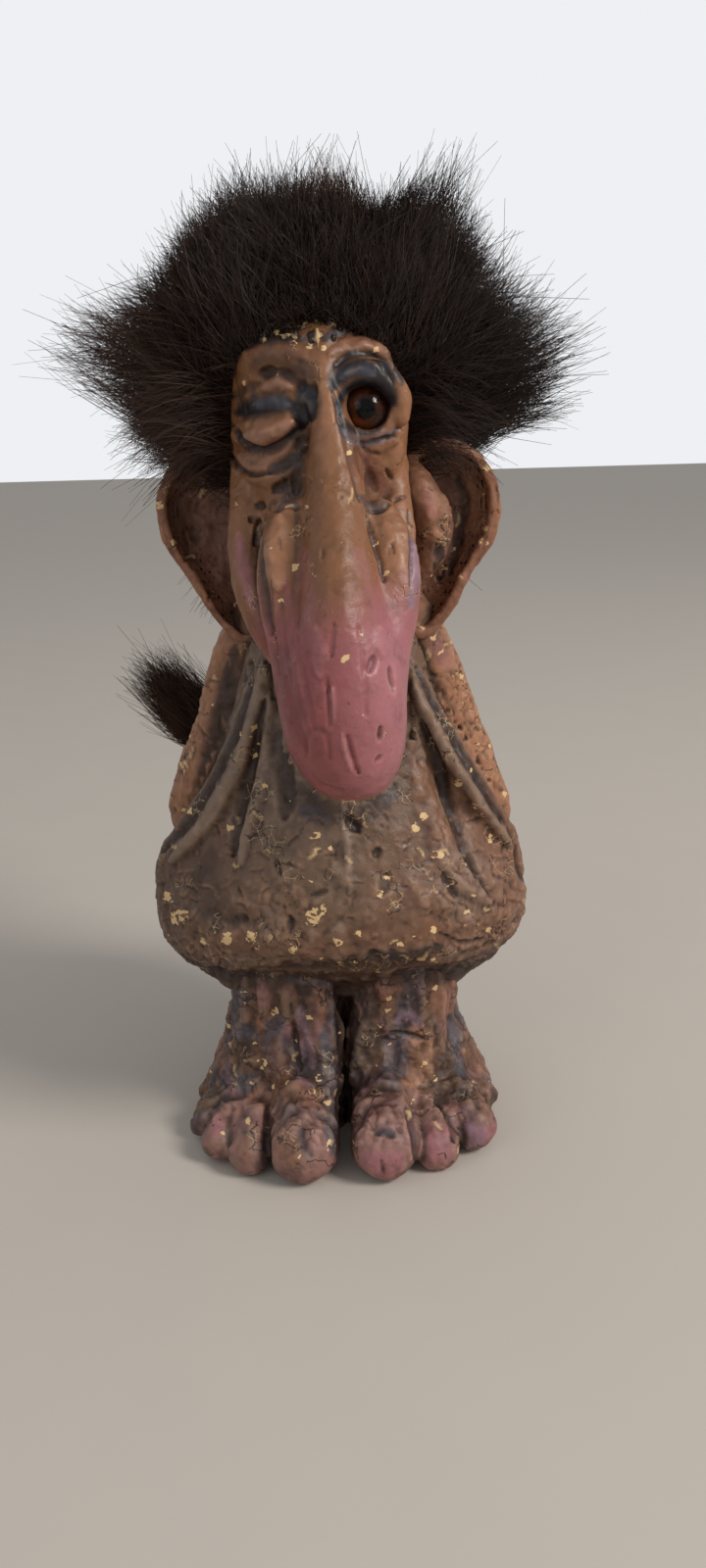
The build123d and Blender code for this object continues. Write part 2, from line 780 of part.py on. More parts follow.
def wire_form(radius):
    """The wire's course: along the tail and on into the tuft."""
    points = [point for point, size_share in tail_stations + tuft_stations[1:3]]
    with BuildPart() as form:
        with BuildLine() as course:
            Spline(*points)
        with BuildSketch(Plane(origin=course.line @ 0, z_dir=course.line % 0)):
            Circle(radius)
        sweep(path=course.line)
    return form.part


# The tail: a thin rubber casting on a wire, with a fur tuft bound to its end
with BuildPart() as tail_casting:
    with Locations(tail_root):
        Sphere(tail_radius)
    add(limb([(point, tail_radius * size) for point, size in tail_stations]))
    add(wire_form(tail_wire_radius + wire_gap), mode=Mode.SUBTRACT)
finish(tail_casting.part, "tail_casting")

with BuildPart() as tail_wire:
    add(wire_form(tail_wire_radius))
finish(tail_wire.part, "tail_wire")

with BuildPart() as tail_binding:
    with BuildSketch(Plane(origin=tail_tip - tail_way * binding_width, z_dir=tail_way)):
        Circle(tail_radius * 0.66 + binding_thickness)
        Circle(tail_radius * 0.66 + binding_gap, mode=Mode.SUBTRACT)
    extrude(amount=binding_width)
    add(tail_casting.part, mode=Mode.SUBTRACT)
finish(tail_binding.part, "tail_binding")

with BuildPart() as tail_tuft:
    add(limb([(point, tuft_radius * size) for point, size in tuft_stations]))
    add(limb([(point, tail_radius * size + fur_gap) for point, size in tail_stations]),
        mode=Mode.SUBTRACT)
    add(wire_form(tail_wire_radius + fur_gap), mode=Mode.SUBTRACT)
finish(tail_tuft.part, "tail_tuft")

print("castings", [len(p.solids()) for p in (body_casting, legs_casting, head_casting)])
print("ears and arms", [len(p.solids()) for p in (left_ear, right_ear, left_arm, right_arm)])
print("wig", [len(p.solids()) for p in (wig_hide, fur_crown, fur_left, fur_right, hairline_glue)])
print("tail", [len(p.solids()) for p in (tail_casting, tail_wire, tail_tuft, tail_binding)])
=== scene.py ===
import math
import time
import bpy
import numpy as np
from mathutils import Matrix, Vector


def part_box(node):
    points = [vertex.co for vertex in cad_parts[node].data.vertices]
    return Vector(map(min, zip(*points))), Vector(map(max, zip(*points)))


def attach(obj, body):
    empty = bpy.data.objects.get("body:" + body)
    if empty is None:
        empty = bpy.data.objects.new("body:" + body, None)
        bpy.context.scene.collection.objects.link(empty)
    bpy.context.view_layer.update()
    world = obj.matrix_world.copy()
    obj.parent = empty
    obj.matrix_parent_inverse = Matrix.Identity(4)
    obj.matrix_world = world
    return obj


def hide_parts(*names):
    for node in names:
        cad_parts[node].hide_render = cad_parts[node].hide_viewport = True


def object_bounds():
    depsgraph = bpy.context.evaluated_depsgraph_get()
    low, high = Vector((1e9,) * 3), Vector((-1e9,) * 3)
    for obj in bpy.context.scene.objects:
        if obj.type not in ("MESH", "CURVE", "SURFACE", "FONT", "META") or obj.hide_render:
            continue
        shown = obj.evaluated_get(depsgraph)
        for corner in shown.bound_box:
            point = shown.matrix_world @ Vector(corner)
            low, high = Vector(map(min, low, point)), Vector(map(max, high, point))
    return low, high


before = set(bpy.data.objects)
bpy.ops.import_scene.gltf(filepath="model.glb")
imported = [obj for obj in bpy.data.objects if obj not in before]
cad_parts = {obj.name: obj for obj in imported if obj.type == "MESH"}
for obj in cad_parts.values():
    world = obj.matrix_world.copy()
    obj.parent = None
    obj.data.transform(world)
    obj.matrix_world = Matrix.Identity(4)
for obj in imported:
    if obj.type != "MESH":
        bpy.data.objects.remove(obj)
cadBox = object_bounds()
mm = 0.001
awayFromZero = 1000.0
started = time.time()


def report(stage):
    print("%s ready after %.0f s" % (stage, time.time() - started))


# The picture's frame, in pixels, and the camera that took it, in millimetres and degrees
picture = {
    "width": 720,
    "height": 1600,
    "focal": 1202.0,
    "eye": (4.0, -292.0, 176.4),
    "pitch": 16.4,
    "roll": 1.57,
}


def cameraAxes():
    pitch, roll = math.radians(picture["pitch"]), math.radians(picture["roll"])
    forward = np.array([0.0, math.cos(pitch), -math.sin(pitch)])
    right = np.array([1.0, 0.0, 0.0])
    up = np.cross(right, forward)
    rolledRight = right * math.cos(roll) + np.cross(forward, right) * math.sin(roll)
    rolledUp = up * math.cos(roll) + np.cross(forward, up) * math.sin(roll)
    return rolledRight, rolledUp, forward


sideways, upwards, forwards = cameraAxes()


def toPicture(points):
    # Millimetres to picture pixels and distance from the camera
    offset = points - np.array(picture["eye"])
    depth = offset @ forwards
    across = picture["width"] / 2 + picture["focal"] * (offset @ sideways) / depth
    down = picture["height"] / 2 - picture["focal"] * (offset @ upwards) / depth
    return across, down, depth


# Noise and shapes as plain functions of points in millimetres


def unit(vectors, tiny=0.0):
    return vectors / (np.sqrt((vectors ** 2).sum(-1)) + tiny)[..., None]


def distanceTo(points, centre):
    return np.sqrt(((points - np.array(centre)) ** 2).sum(1))


def smoothStep(low, high, value):
    t = np.clip((value - low) / (high - low), 0, 1)
    return t * t * (3 - 2 * t)


def hashed(cell, seed):
    mixed = (cell[:, 0] * 73856093) ^ (cell[:, 1] * 19349663) ^ (cell[:, 2] * 83492791)
    mixed ^= seed * 2654435
    mixed = (mixed ^ (mixed >> 13)) * 1274126177
    return ((mixed ^ (mixed >> 16)) & 65535) / 65535.0


def noise(points, size, seed=0):
    # Smooth noise from -1 to 1 whose lumps are about size millimetres across
    place = points / size + awayFromZero
    cell = np.floor(place).astype(np.int64)
    part = place - cell
    part = part * part * (3 - 2 * part)
    total = np.zeros(len(points))
    for corner in range(8):
        step = np.array([corner & 1, corner >> 1 & 1, corner >> 2 & 1])
        share = np.prod(np.where(step == 1, part, 1 - part), axis=1)
        total += share * hashed(cell + step, seed)
    return total * 2 - 1


def roughNoise(points, size, seed=0, layers=3):
    total, weight = np.zeros(len(points)), 1.0
    for layer in range(layers):
        total += weight * noise(points, size / 2 ** layer, seed + layer)
        weight *= 0.5
    return total


def noiseVectors(points, size, seed):
    return np.stack([noise(points, size, seed + i) for i in range(3)], axis=1)


def softMin(a, b, blend):
    h = np.clip(0.5 + 0.5 * (b - a) / blend, 0, 1)
    return b * (1 - h) + a * h - blend * h * (1 - h)


def softMax(a, b, blend):
    return -softMin(-a, -b, blend)


def smoothRows(rows, steps=6):
    # A smooth curve through rows of numbers
    rows = np.array(rows, float)
    padded = np.vstack([2 * rows[0] - rows[1], rows, 2 * rows[-1] - rows[-2]])
    made = []
    for i in range(1, len(padded) - 2):
        p0, p1, p2, p3 = padded[i - 1: i + 3]
        for t in np.arange(steps) / steps:
            made.append(0.5 * (2 * p1 + (p2 - p0) * t + (2 * p0 - 5 * p1 + 4 * p2 - p3) * t ** 2
                               + (3 * p1 - p0 - 3 * p2 + p3) * t ** 3))
    made.append(padded[-2])
    return np.array(made)


def eggField(points, rows):
    # Rows of height, middle x, middle y, half width, front and back, stacked as egg sections
    rows = smoothRows(sorted(rows))
    z = points[:, 2]
    middleX, middleY, halfWidth, front, back = [
        np.interp(z, rows[:, 0], rows[:, i]) for i in range(1, 6)]
    dx, dy = points[:, 0] - middleX, points[:, 1] - middleY
    reach = np.where(dy < 0, front, back)
    far = np.sqrt((dx / halfWidth) ** 2 + (dy / reach) ** 2) + 1e-6
    steep = np.sqrt((dx / halfWidth ** 2) ** 2 + (dy / reach ** 2) ** 2) + 1e-6
    flat = far * (far - 1) / steep
    ends = np.maximum(rows[0, 0] - z, z - rows[-1, 0])
    return softMax(flat, ends, 3.0)


def tubeField(points, stops, steps=4):
    # Stops of x, y, z and radius along a rounded limb
    rows = smoothRows(stops, steps)
    nearest = np.full(len(points), 1e3)
    reach = rows[:, 3].max() + 12
    low, high = rows[:, :3].min(0) - reach, rows[:, :3].max(0) + reach
    inside = np.all((points > low) & (points < high), axis=1)
    near = points[inside]
    best = np.full(len(near), 1e3)
    for a, b in zip(rows[:-1], rows[1:]):
        along = b[:3] - a[:3]
        t = np.clip((near - a[:3]) @ along / (along @ along + 1e-9), 0, 1)
        gap = near - a[:3] - t[:, None] * along
        best = np.minimum(best, np.sqrt((gap ** 2).sum(1)) - a[3] - t * (b[3] - a[3]))
    nearest[inside] = best
    return nearest


def blobField(points, centre, radii):
    scaled = (points - np.array(centre)) / np.array(radii)
    far = np.sqrt((scaled ** 2).sum(1)) + 1e-6
    steep = np.sqrt(((scaled / np.array(radii)) ** 2).sum(1)) + 1e-6
    return far * (far - 1) / steep


# Meshes drawn over a field: a net of quads, made finer and pulled onto the field


def netOver(field, low, high, step):
    axes = [np.arange(low[i], high[i] + step, step) for i in range(3)]
    grid = np.stack(np.meshgrid(*axes, indexing="ij"), axis=-1)
    shape = grid.shape[:3]
    value = field(grid.reshape(-1, 3)).reshape(shape)
    inner = value < 0
    cells = tuple(n - 1 for n in shape)
    total, count = np.zeros(cells + (3,)), np.zeros(cells)
    for axis in range(3):
        for offset in range(4):
            start = [0, 0, 0]
            others = [i for i in range(3) if i != axis]
            start[others[0]], start[others[1]] = offset & 1, offset >> 1
            end = list(start)
            end[axis] += 1
            a = tuple(slice(start[i], start[i] + cells[i]) for i in range(3))
            b = tuple(slice(end[i], end[i] + cells[i]) for i in range(3))
            crosses = inner[a] != inner[b]
            t = np.where(crosses, value[a] / np.where(crosses, value[a] - value[b], 1), 0)
            total += np.where(crosses[..., None], grid[a] + t[..., None] * (grid[b] - grid[a]), 0)
            count += crosses
    used = count > 0
    number = np.full(cells, -1)
    number[used] = np.arange(used.sum())
    points = total[used] / count[used][:, None]
    quads = []
    for axis in range(3):
        others = [(axis + 1) % 3, (axis + 2) % 3]
        span = [slice(1, -1)] * 3
        first, second = list(span), list(span)
        first[axis], second[axis] = slice(0, -1), slice(1, None)
        before, after = inner[tuple(first)], inner[tuple(second)]
        place = np.argwhere(before != after)
        place[:, others] += 1
        corners = []
        for du, dv in ((-1, -1), (0, -1), (0, 0), (-1, 0)):
            corner = place.copy()
            corner[:, others[0]] += du
            corner[:, others[1]] += dv
            corners.append(number[tuple(corner.T)])
        quad = np.stack(corners, axis=1)
        flip = ~before[before != after]
        quad[flip] = quad[flip][:, ::-1]
        quads.append(quad)
    return points, np.vstack(quads)


def finer(points, quads):
    pairs = np.sort(np.stack([quads, np.roll(quads, -1, axis=1)], axis=2).reshape(-1, 2), axis=1)
    edges, back = np.unique(pairs, axis=0, return_inverse=True)
    middles = points[edges].mean(1)
    centres = points[quads].mean(1)
    edgeOf = back.reshape(len(quads), 4) + len(points)
    centreOf = np.arange(len(quads)) + len(points) + len(edges)
    made = [np.stack([quads[:, i], edgeOf[:, i], centreOf, edgeOf[:, i - 1]], axis=1) for i in range(4)]
    return np.vstack([points, middles, centres]), np.vstack(made)


def spread(values, quads, count):
    # The mean of each point's neighbours along its edges
    total = np.zeros((count,) + values.shape[1:])
    shares = np.zeros(count)
    for shift in (1, -1):
        other = np.roll(quads, shift, axis=1).ravel()
        flat = quads.ravel()
        shares += np.bincount(flat, minlength=count)
        if values.ndim == 1:
            total += np.bincount(flat, values[other], minlength=count)
        else:
            for i in range(values.shape[1]):
                total[:, i] += np.bincount(flat, values[other, i], minlength=count)
    return total / (shares if values.ndim == 1 else shares[:, None])


def slopeOf(field, points, reach=0.25):
    here = field(points)
    slope = np.stack([field(points + reach * np.eye(3)[i]) - here for i in range(3)], axis=1) / reach
    return here, slope


def skinOver(field, low, high, step):
    points, quads = netOver(field, low, high, step * 2)
    points, quads = finer(points, quads)
    for turn in range(4):
        points = points * 0.5 + spread(points, quads, len(points)) * 0.5
        here, slope = slopeOf(field, points)
        size = (slope ** 2).sum(1)
        pull = np.clip(here / np.maximum(size, 0.2), -1.5, 1.5)
        points = points - pull[:, None] * slope
    slope = slopeOf(field, points)[1]
    normals = slope / np.maximum(np.sqrt((slope ** 2).sum(1)), 1e-6)[:, None]
    return {"points": points, "quads": quads, "normals": normals}


# The castings as fields, all in millimetres
bodyForm = {
    "levels": [
        (33, 0, 0, 24, 10, 22), (36, 0, 0, 32, 13, 27), (40, 0, 0, 38, 15, 31),
        (48, 0, 0, 45, 22, 35), (53, 0, 0, 47.3, 33, 36.5), (60, 0, 0, 48.3, 40, 37),
        (68, 0, 0, 47.6, 41, 37), (74, 0, 0, 45.5, 40.5, 37), (88, 0, 0, 36, 36, 35.5),
        (102, 0, 0, 29, 31, 32.5), (116, 0, 0, 24.5, 26.5, 29.5), (128, 0, 0, 21, 21.5, 26.5),
        (136, 0, 0, 17.5, 16, 22), (140, 0, 0, 13, 12, 17),
    ],
    "folds": {
        "leftEdge": [
            (-13, -17, 132, 2.2), (-18, -19, 119, 3.4), (-23.2, -19.5, 106, 4),
            (-30, -18.5, 93, 4.4), (-37.5, -15, 83, 4.2), (-43, -8.5, 74, 3), (-44.5, -4, 66, 1.2),
        ],
        "rightEdge": [
            (16, -17, 130, 2.2), (20.5, -19, 118, 3.4), (25.5, -19.5, 108, 4), (31, -18.5, 97, 4.4),
            (37, -15.5, 87, 4.2), (42.5, -8.5, 77, 3), (44.5, -4, 68, 1.2),
        ],
    },
    "socket": [(0, 28, 46, 6.6), (0, 34, 46, 6.4), (0, 41, 46, 6)],
    "socketEnd": 38.4,
    "cup": ((0, 39.41, 46), 5.0),
    "foldSink": 0.5,
    "foldBlend": 6.0,
    "socketBlend": 2.5,
    "step": 0.58,
}
legForm = {
    "levels": [
        (-3, 17.5, 0, 22, 22, 25), (3, 17.8, 0, 22.2, 24, 26), (10, 17, 0, 20.3, 22, 25),
        (18, 15.8, 0, 18, 19.5, 24), (26, 15, 0, 16, 17.5, 23), (36, 15, 0, 15.4, 17, 23),
        (50, 15, 0, 15.5, 17.5, 22), (58, 15, 0, 14, 15, 20),
    ],
    "leftToes": [
        [(10.6, -14, 12, 9), (10.6, -26, 9, 9.2), (10.6, -37, 7.7, 8.6)],
        [(19.5, -13, 9, 6.4), (22.4, -25, 7, 6.2), (24.2, -34, 5.3, 5.6)],
        [(23, -11, 8.5, 6), (29.2, -21.5, 6.6, 5.8), (31.8, -28.4, 4.9, 5.2)],
        [(25, -5, 8, 5.4), (32.5, -12.5, 6, 5.2), (36, -18.4, 4.5, 4.8)],
        [(6.2, -11, 52, 5), (6.6, -13, 32, 5.8), (7, -17, 14, 6.5)],
        [(3.4, -11.5, 54, 3), (3.6, -14, 32, 3.4), (4, -18, 14, 3.8)],
    ],
    "rightToes": [
        [(10.2, -14, 12, 9), (9.8, -26, 9, 9), (9.6, -37, 7.7, 8.5)],
        [(18.5, -13, 9, 6.8), (21, -25, 7, 6.8), (22.3, -34.2, 5.7, 6)],
        [(23.5, -10, 9, 7), (29.5, -20, 7.5, 6.9), (32.4, -26.5, 6.1, 6.2)],
        [(25, -4, 9, 5.5), (32, -9, 7, 5.5), (35.4, -12, 5.5, 5)],
        [(6, -8.5, 52, 4.6), (6.4, -10, 32, 5.4), (7, -15, 14, 6.5)],
        [(3.4, -9, 54, 3), (3.6, -11, 32, 3.4), (4, -16, 14, 3.8)],
    ],
    "toeBlend": 1.6,
    "gap": 0.4,
    "bridge": ((0, 6, 40), (20, 12, 20)),
    "bridgeBlend": 3,
    "sole": 0.15,
    "step": 0.56,
}
headForm = {
    "levels": [
        (124, -1.6, 0, 7, 8, 10), (126, -1.6, 0, 10.5, 11, 15), (134, -1.8, 0, 16.2, 19, 22),
        (146, -2.2, 0, 18.8, 23, 27), (160, -2.5, 0, 20.3, 25, 30), (176, -2.4, 0, 20.8, 25, 31),
        (190, -1.8, 0, 20.8, 24.2, 30.5), (200, -1.6, 0, 18.5, 21.5, 27),
        (206, -1.6, 0, 13, 15, 19), (209, -1.6, 0, 7, 8, 10),
    ],
    "nose": [
        (198, 0, -20, 2, 3, 6), (190, 0.2, -22.5, 3, 5, 7), (182, 0.8, -25.5, 4, 6, 8),
        (172, 1.8, -28.5, 5.6, 8, 10), (160, 1.9, -32.5, 6.9, 12, 14),
        (148, 2.2, -37.5, 8.4, 15.5, 17), (138, 2.2, -41.5, 10.7, 15.5, 17),
        (128, 2.2, -44, 13.5, 15, 16), (120, 2.4, -45.5, 13.5, 14.2, 14.8),
        (113, 2.8, -46, 12.7, 12.8, 13), (108, 3.2, -46.3, 10.9, 11, 11),
        (104, 3.6, -46.6, 8, 8, 8), (101.2, 4, -47, 4, 4, 4),
    ],
    "leftWing": [
        (-8.2, -30, 160.5, 3.6), (-9.5, -33, 154, 5.3), (-9.6, -36.2, 147, 6),
        (-8.8, -39.4, 139, 5.7), (-7.5, -42.4, 130, 5), (-6.2, -44.5, 121, 3.4),
    ],
    "leftFill": [(-4.6, -31, 158, 4.6), (-5, -34.5, 149, 5.6), (-4.8, -38, 140, 6)],
    "rightWing": [
        (11.8, -29, 160, 3.4), (13.5, -32, 153.5, 5.4), (13.9, -35, 147, 6),
        (13.2, -38.5, 139, 5.6), (11.8, -42, 131, 4.8), (10, -44.5, 122, 3.2),
    ],
    "leftJowl": [
        (-18.8, -11, 170, 3), (-18.9, -17, 157, 4.3), (-17.6, -22, 146, 4.6),
        (-14.6, -26.5, 137, 4.4), (-11.4, -29, 130, 3.2),
    ],
    "rightJowl": [
        (15.8, -12, 169, 2.8), (15.6, -18, 157, 4), (15.2, -23, 146, 4.4), (13.8, -27, 136, 3.8),
    ],
    "leftBrow": [
        (-18, -10, 190, 2), (-14.5, -17, 193, 3.2), (-8, -21.5, 193.5, 3), (-2.5, -22.5, 190.5, 2),
    ],
    "rightBrow": [
        (2.5, -22.5, 190, 2.2), (7, -21.5, 193, 2.6), (11.5, -18, 193.5, 2.2), (15, -14, 191, 1.2),
    ],
    "socket": ((9.0, -15.5, 177.5), (9.6, 9.5, 11.5)),
    "leftLid": [
        (-19, -14, 177.5, 2.4), (-14.5, -19.5, 178, 4.3), (-9.5, -22, 178.3, 4),
        (-4.5, -24, 178.5, 2),
    ],
    "underLid": [
        (-19, -14.5, 171.5, 1.6), (-14.5, -19.5, 168.5, 2.4), (-8.5, -22.5, 169, 2.2),
        (-4.8, -25, 173, 1.4),
    ],
    "noseBlend": 4.0,
    "blends": {
        "leftWing": 3.4,
        "rightWing": 3.4,
        "leftFill": 3.4,
        "leftJowl": 2.5,
        "rightJowl": 2.5,
        "leftBrow": 3.0,
        "rightBrow": 3.0,
        "leftLid": 1.4,
        "underLid": 1.4,
    },
    "lidBlend": 1.0,
    "eyeGap": 0.15,
    "step": 0.52,
}
armForm = {
    "right": [
        (18, 5, 133, 7.2), (23, 7.5, 122, 8.2), (29, 10, 103, 8.9), (36.3, 14, 80, 9.8),
        (34.5, 23, 72.5, 8.8), (26.7, 32, 70, 8), (13, 41.8, 66.8, 6.4), (-2.6, 46, 66.8, 5.2),
    ],
    "left": [
        (-18, 5, 133, 7.2), (-23, 7.5, 122, 8.2), (-29, 10, 103, 8.9), (-36.3, 14, 82, 9.8),
        (-34.5, 23, 79, 8.8), (-26.7, 32, 79, 8), (-13, 41.8, 79.2, 6.4), (2.6, 46, 79.2, 5.2),
    ],
    "fingerGap": 4.0,
    "fingerLengths": (12, 14.5, 14, 11),
    "fingerStops": [
        (0, 0.4, 0, 2.5), (0.32, 1.6, 0.3, 2.3), (0.62, 1.2, 0, 1.9), (0.84, -0.2, -0.4, 2.1),
        (1, -2, -0.9, 1.6),
    ],
    "thumb": [(4, 2, 4.5, 2.6), (-3, 4.6, 5.2, 2.3), (-8.5, 4.4, 2.6, 1.9)],
    "fingerBlend": 0.8,
    "thumbBlend": 1.0,
    "step": 0.64,
}
earForm = {
    "outline": [
        (17.2, 171.4), (24.5, 174.8), (31.5, 174.6), (36.8, 171), (40.6, 164), (40.6, 157),
        (38.6, 150.5), (34, 143.5), (30.5, 137), (26.5, 131.5), (22, 128.5), (17, 131), (16.5, 145),
        (16.8, 160),
    ],
    "bowlDepth": 9.5,
    "rimFront": -4.0,
    "bowlCurve": 4.0,
    "top": 174,
    "lean": 0.03,
    "middle": 20,
    "flare": 0.1,
    "wall": 1.5,
    "rimRadius": {-1: 0.85, 1: 1.2},
    "tragus": [
        (18.6, -5, 170, 2.5), (21.4, -8, 164, 4.2), (24.6, -8, 157, 4.6), (23.6, -6.5, 149, 3.8),
        (20.5, -3, 142, 2),
    ],
    "tragusBlend": 1.8,
    "step": 0.5,
}
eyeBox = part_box("eye_glass")
eyeRadius = (eyeBox[1][0] - eyeBox[0][0]) / 2 / mm
eyeCentre = np.array([eyeBox[0][0] / mm + eyeRadius, eyeBox[1][1] / mm, eyeBox[0][2] / mm + eyeRadius])
# Rolled lids: the degrees that each runs between, its reach from the eye's middle, how flat its arc is,
# how far it stands in front of the middle, and its own radius
eyeLids = {
    "upper": {"from": -14, "to": 192, "reach": 7.8, "flat": 0.98, "front": 2.4, "radius": 3.0},
    "lower": {"from": 188, "to": 350, "reach": 6.2, "flat": 0.9, "front": 2.2, "radius": 1.5},
    "bag": {"from": 214, "to": 322, "reach": 8.8, "flat": 0.94, "front": 0.6, "radius": 1.6},
}


def bodyField(points):
    value = eggField(points, bodyForm["levels"])
    for stops in bodyForm["folds"].values():
        value = softMin(value, tubeField(points, stops) + bodyForm["foldSink"], bodyForm["foldBlend"])
    socket = softMax(tubeField(points, bodyForm["socket"]), points[:, 1] - bodyForm["socketEnd"], 1.0)
    middle, radius = bodyForm["cup"]
    value = softMin(value, socket, bodyForm["socketBlend"])
    return softMax(value, radius - distanceTo(points, middle), 0.4)


def legField(points):
    folded = points.copy()
    folded[:, 0] = np.abs(folded[:, 0])
    value = eggField(folded, legForm["levels"])
    for side, toes in ((-1, "leftToes"), (1, "rightToes")):
        onSide = points * np.array([side, 1, 1])
        for toe in legForm[toes]:
            value = softMin(value, tubeField(onSide, toe), legForm["toeBlend"])
    value = softMax(value, legForm["gap"] - folded[:, 0], 1.5)
    value = softMin(value, blobField(points, *legForm["bridge"]), legForm["bridgeBlend"])
    return softMax(value, legForm["sole"] - points[:, 2], 1.6)


def lidArc(lid):
    # A rolled eyelid round the glass eye
    stops = []
    for share in np.linspace(0, 1, 7):
        turn = math.radians(lid["from"] + share * (lid["to"] - lid["from"]))
        swell = 0.65 + 0.35 * math.sin(math.pi * share)
        wide, high = lid["reach"] * math.cos(turn), lid["reach"] * lid["flat"] * math.sin(turn)
        front = eyeCentre[1] - lid["front"] * (1 - 0.5 * abs(math.cos(turn)))
        stops.append((eyeCentre[0] + wide, front, eyeCentre[2] + high, lid["radius"] * swell))
    return stops


def headField(points):
    value = eggField(points, headForm["levels"])
    value = softMin(value, eggField(points, headForm["nose"]), headForm["noseBlend"])
    for name, blend in headForm["blends"].items():
        value = softMin(value, tubeField(points, headForm[name]), blend)
    value = softMin(value, blobField(points, *headForm["socket"]), headForm["noseBlend"])
    for lid in eyeLids.values():
        value = softMin(value, tubeField(points, lidArc(lid)), headForm["lidBlend"])
    hole = distanceTo(points, eyeCentre) - eyeRadius - headForm["eyeGap"]
    return softMax(value, -hole, 0.5)


def polygonField(across, high, outline):
    # Signed distance to a closed outline in the plane
    best, inside = np.full(len(across), 1e6), np.zeros(len(across), bool)
    for a, b in zip(outline, np.roll(outline, -1, axis=0)):
        along = b - a
        t = np.clip(((across - a[0]) * along[0] + (high - a[1]) * along[1]) / (along @ along), 0, 1)
        best = np.minimum(best, np.hypot(across - a[0] - t * along[0], high - a[1] - t * along[1]))
        crosses = (a[1] > high) != (b[1] > high)
        slope = along[0] / (along[1] if along[1] else 1e-9)
        inside ^= crosses & (across < a[0] + (high - a[1]) * slope)
    return np.where(inside, -best, best)


earOutline = smoothRows(earForm["outline"] + earForm["outline"][:1], 4)[:-1]


def earRim(across, high):
    # How far back the rim lies
    lean = earForm["lean"] * (earForm["top"] - high)
    return earForm["rimFront"] + lean + earForm["flare"] * (across - earForm["middle"])


def earField(points, side):
    across, high = points[:, 0] * side, points[:, 2]
    edge = polygonField(across, high, earOutline)
    rimY = earRim(across, high)
    bowl = rimY + earForm["bowlDepth"] * (1 - np.exp(np.minimum(edge, 0) / earForm["bowlCurve"]))
    half = earForm["wall"] / 2
    value = softMax(np.abs(points[:, 1] - bowl - half) - half, edge, 1.0)
    rim = np.hypot(edge + 1.2, points[:, 1] - rimY - 0.6) - earForm["rimRadius"][side]
    value = softMin(value, rim, 2.2)
    if side > 0:
        value = softMin(value, tubeField(points, earForm["tragus"]), earForm["tragusBlend"])
    return value


def armField(points, side):
    stops = armForm["right"] if side > 0 else armForm["left"]
    value = tubeField(points, stops)
    end = stops[-1]
    for finger, length in enumerate(armForm["fingerLengths"]):
        high = end[2] + (finger - 1.5) * armForm["fingerGap"]
        line = [(end[0] - side * share * length, end[1] + out, high + rise, radius)
                for share, out, rise, radius in armForm["fingerStops"]]
        value = softMin(value, tubeField(points, line), armForm["fingerBlend"])
    thumb = [(end[0] + side * along, end[1] + out, end[2] + rise, radius)
             for along, out, rise, radius in armForm["thumb"]]
    return softMin(value, tubeField(points, thumb), armForm["thumbBlend"])


# The boxes that the castings are drawn in, from corner to corner; those of the ear and the arm are
# for the right one
boxes = {
    "bodySkin": ((-52, -46, 30), (52, 43, 142)),
    "legSkin": ((-46, -50, -3), (46, 30, 60)),
    "headSkin": ((-27, -66, 100), (25, 35, 212)),
    "EarSkin": ((15, -14, 124), (46, 18, 180)),
    "ArmSkin": ((-20, -8, 54), (50, 54, 143)),
}


def castAll():
    skins = {
        "bodySkin": skinOver(bodyField, *boxes["bodySkin"], bodyForm["step"]),
        "legSkin": skinOver(legField, *boxes["legSkin"], legForm["step"]),
        "headSkin": skinOver(headField, *boxes["headSkin"], headForm["step"]),
    }
    for side, name in ((-1, "left"), (1, "right")):
        for kind, field, form in (("EarSkin", earField, earForm), ("ArmSkin", armField, armForm)):
            (inner, front, base), (outer, back, top) = boxes[kind]
            low, high = sorted((side * inner, side * outer))
            corners = (low, front, base), (high, back, top)
            skins[name + kind] = skinOver(lambda p: field(p, side), *corners, form["step"])
    return skins


skins = castAll()
report("Cast skins")
for name, skin in skins.items():
    print(name, len(skin["points"]), len(skin["quads"]))


def makeMesh(name, points, faces):
    mesh = bpy.data.meshes.new(name)
    faces = np.asarray(faces)
    mesh.vertices.add(len(points))
    mesh.vertices.foreach_set("co", np.asarray(points * mm, np.float32).ravel())
    mesh.loops.add(faces.size)
    mesh.loops.foreach_set("vertex_index", faces.ravel().astype(np.int32))
    mesh.polygons.add(len(faces))
    mesh.polygons.foreach_set("loop_start", (np.arange(len(faces)) * faces.shape[1]).astype(np.int32))
    mesh.polygons.foreach_set("use_smooth", np.ones(len(faces), bool))
    mesh.update(calc_edges=True)
    piece = bpy.data.objects.new(name, mesh)
    bpy.context.scene.collection.objects.link(piece)
    return piece


def addValues(piece, name, values):
    layer = piece.data.attributes.new(name, "FLOAT", "POINT")
    layer.data.foreach_set("value", np.asarray(values, np.float32))


def addColours(piece, name, colours):
    layer = piece.data.color_attributes.new(name, "FLOAT_COLOR", "POINT")
    full = np.ones((len(colours), 4), np.float32)
    full[:, :3] = colours
    layer.data.foreach_set("color", full.ravel())


# Paint, painted shade and painted highlights, laid by brush strokes placed in the picture's pixels, on
# what the camera sees of each skin
def tone(red, green, blue):
    share = np.array([red, green, blue]) / 255.0
    return np.where(share <= 0.04045, share / 12.92, ((share + 0.055) / 1.055) ** 2.4)


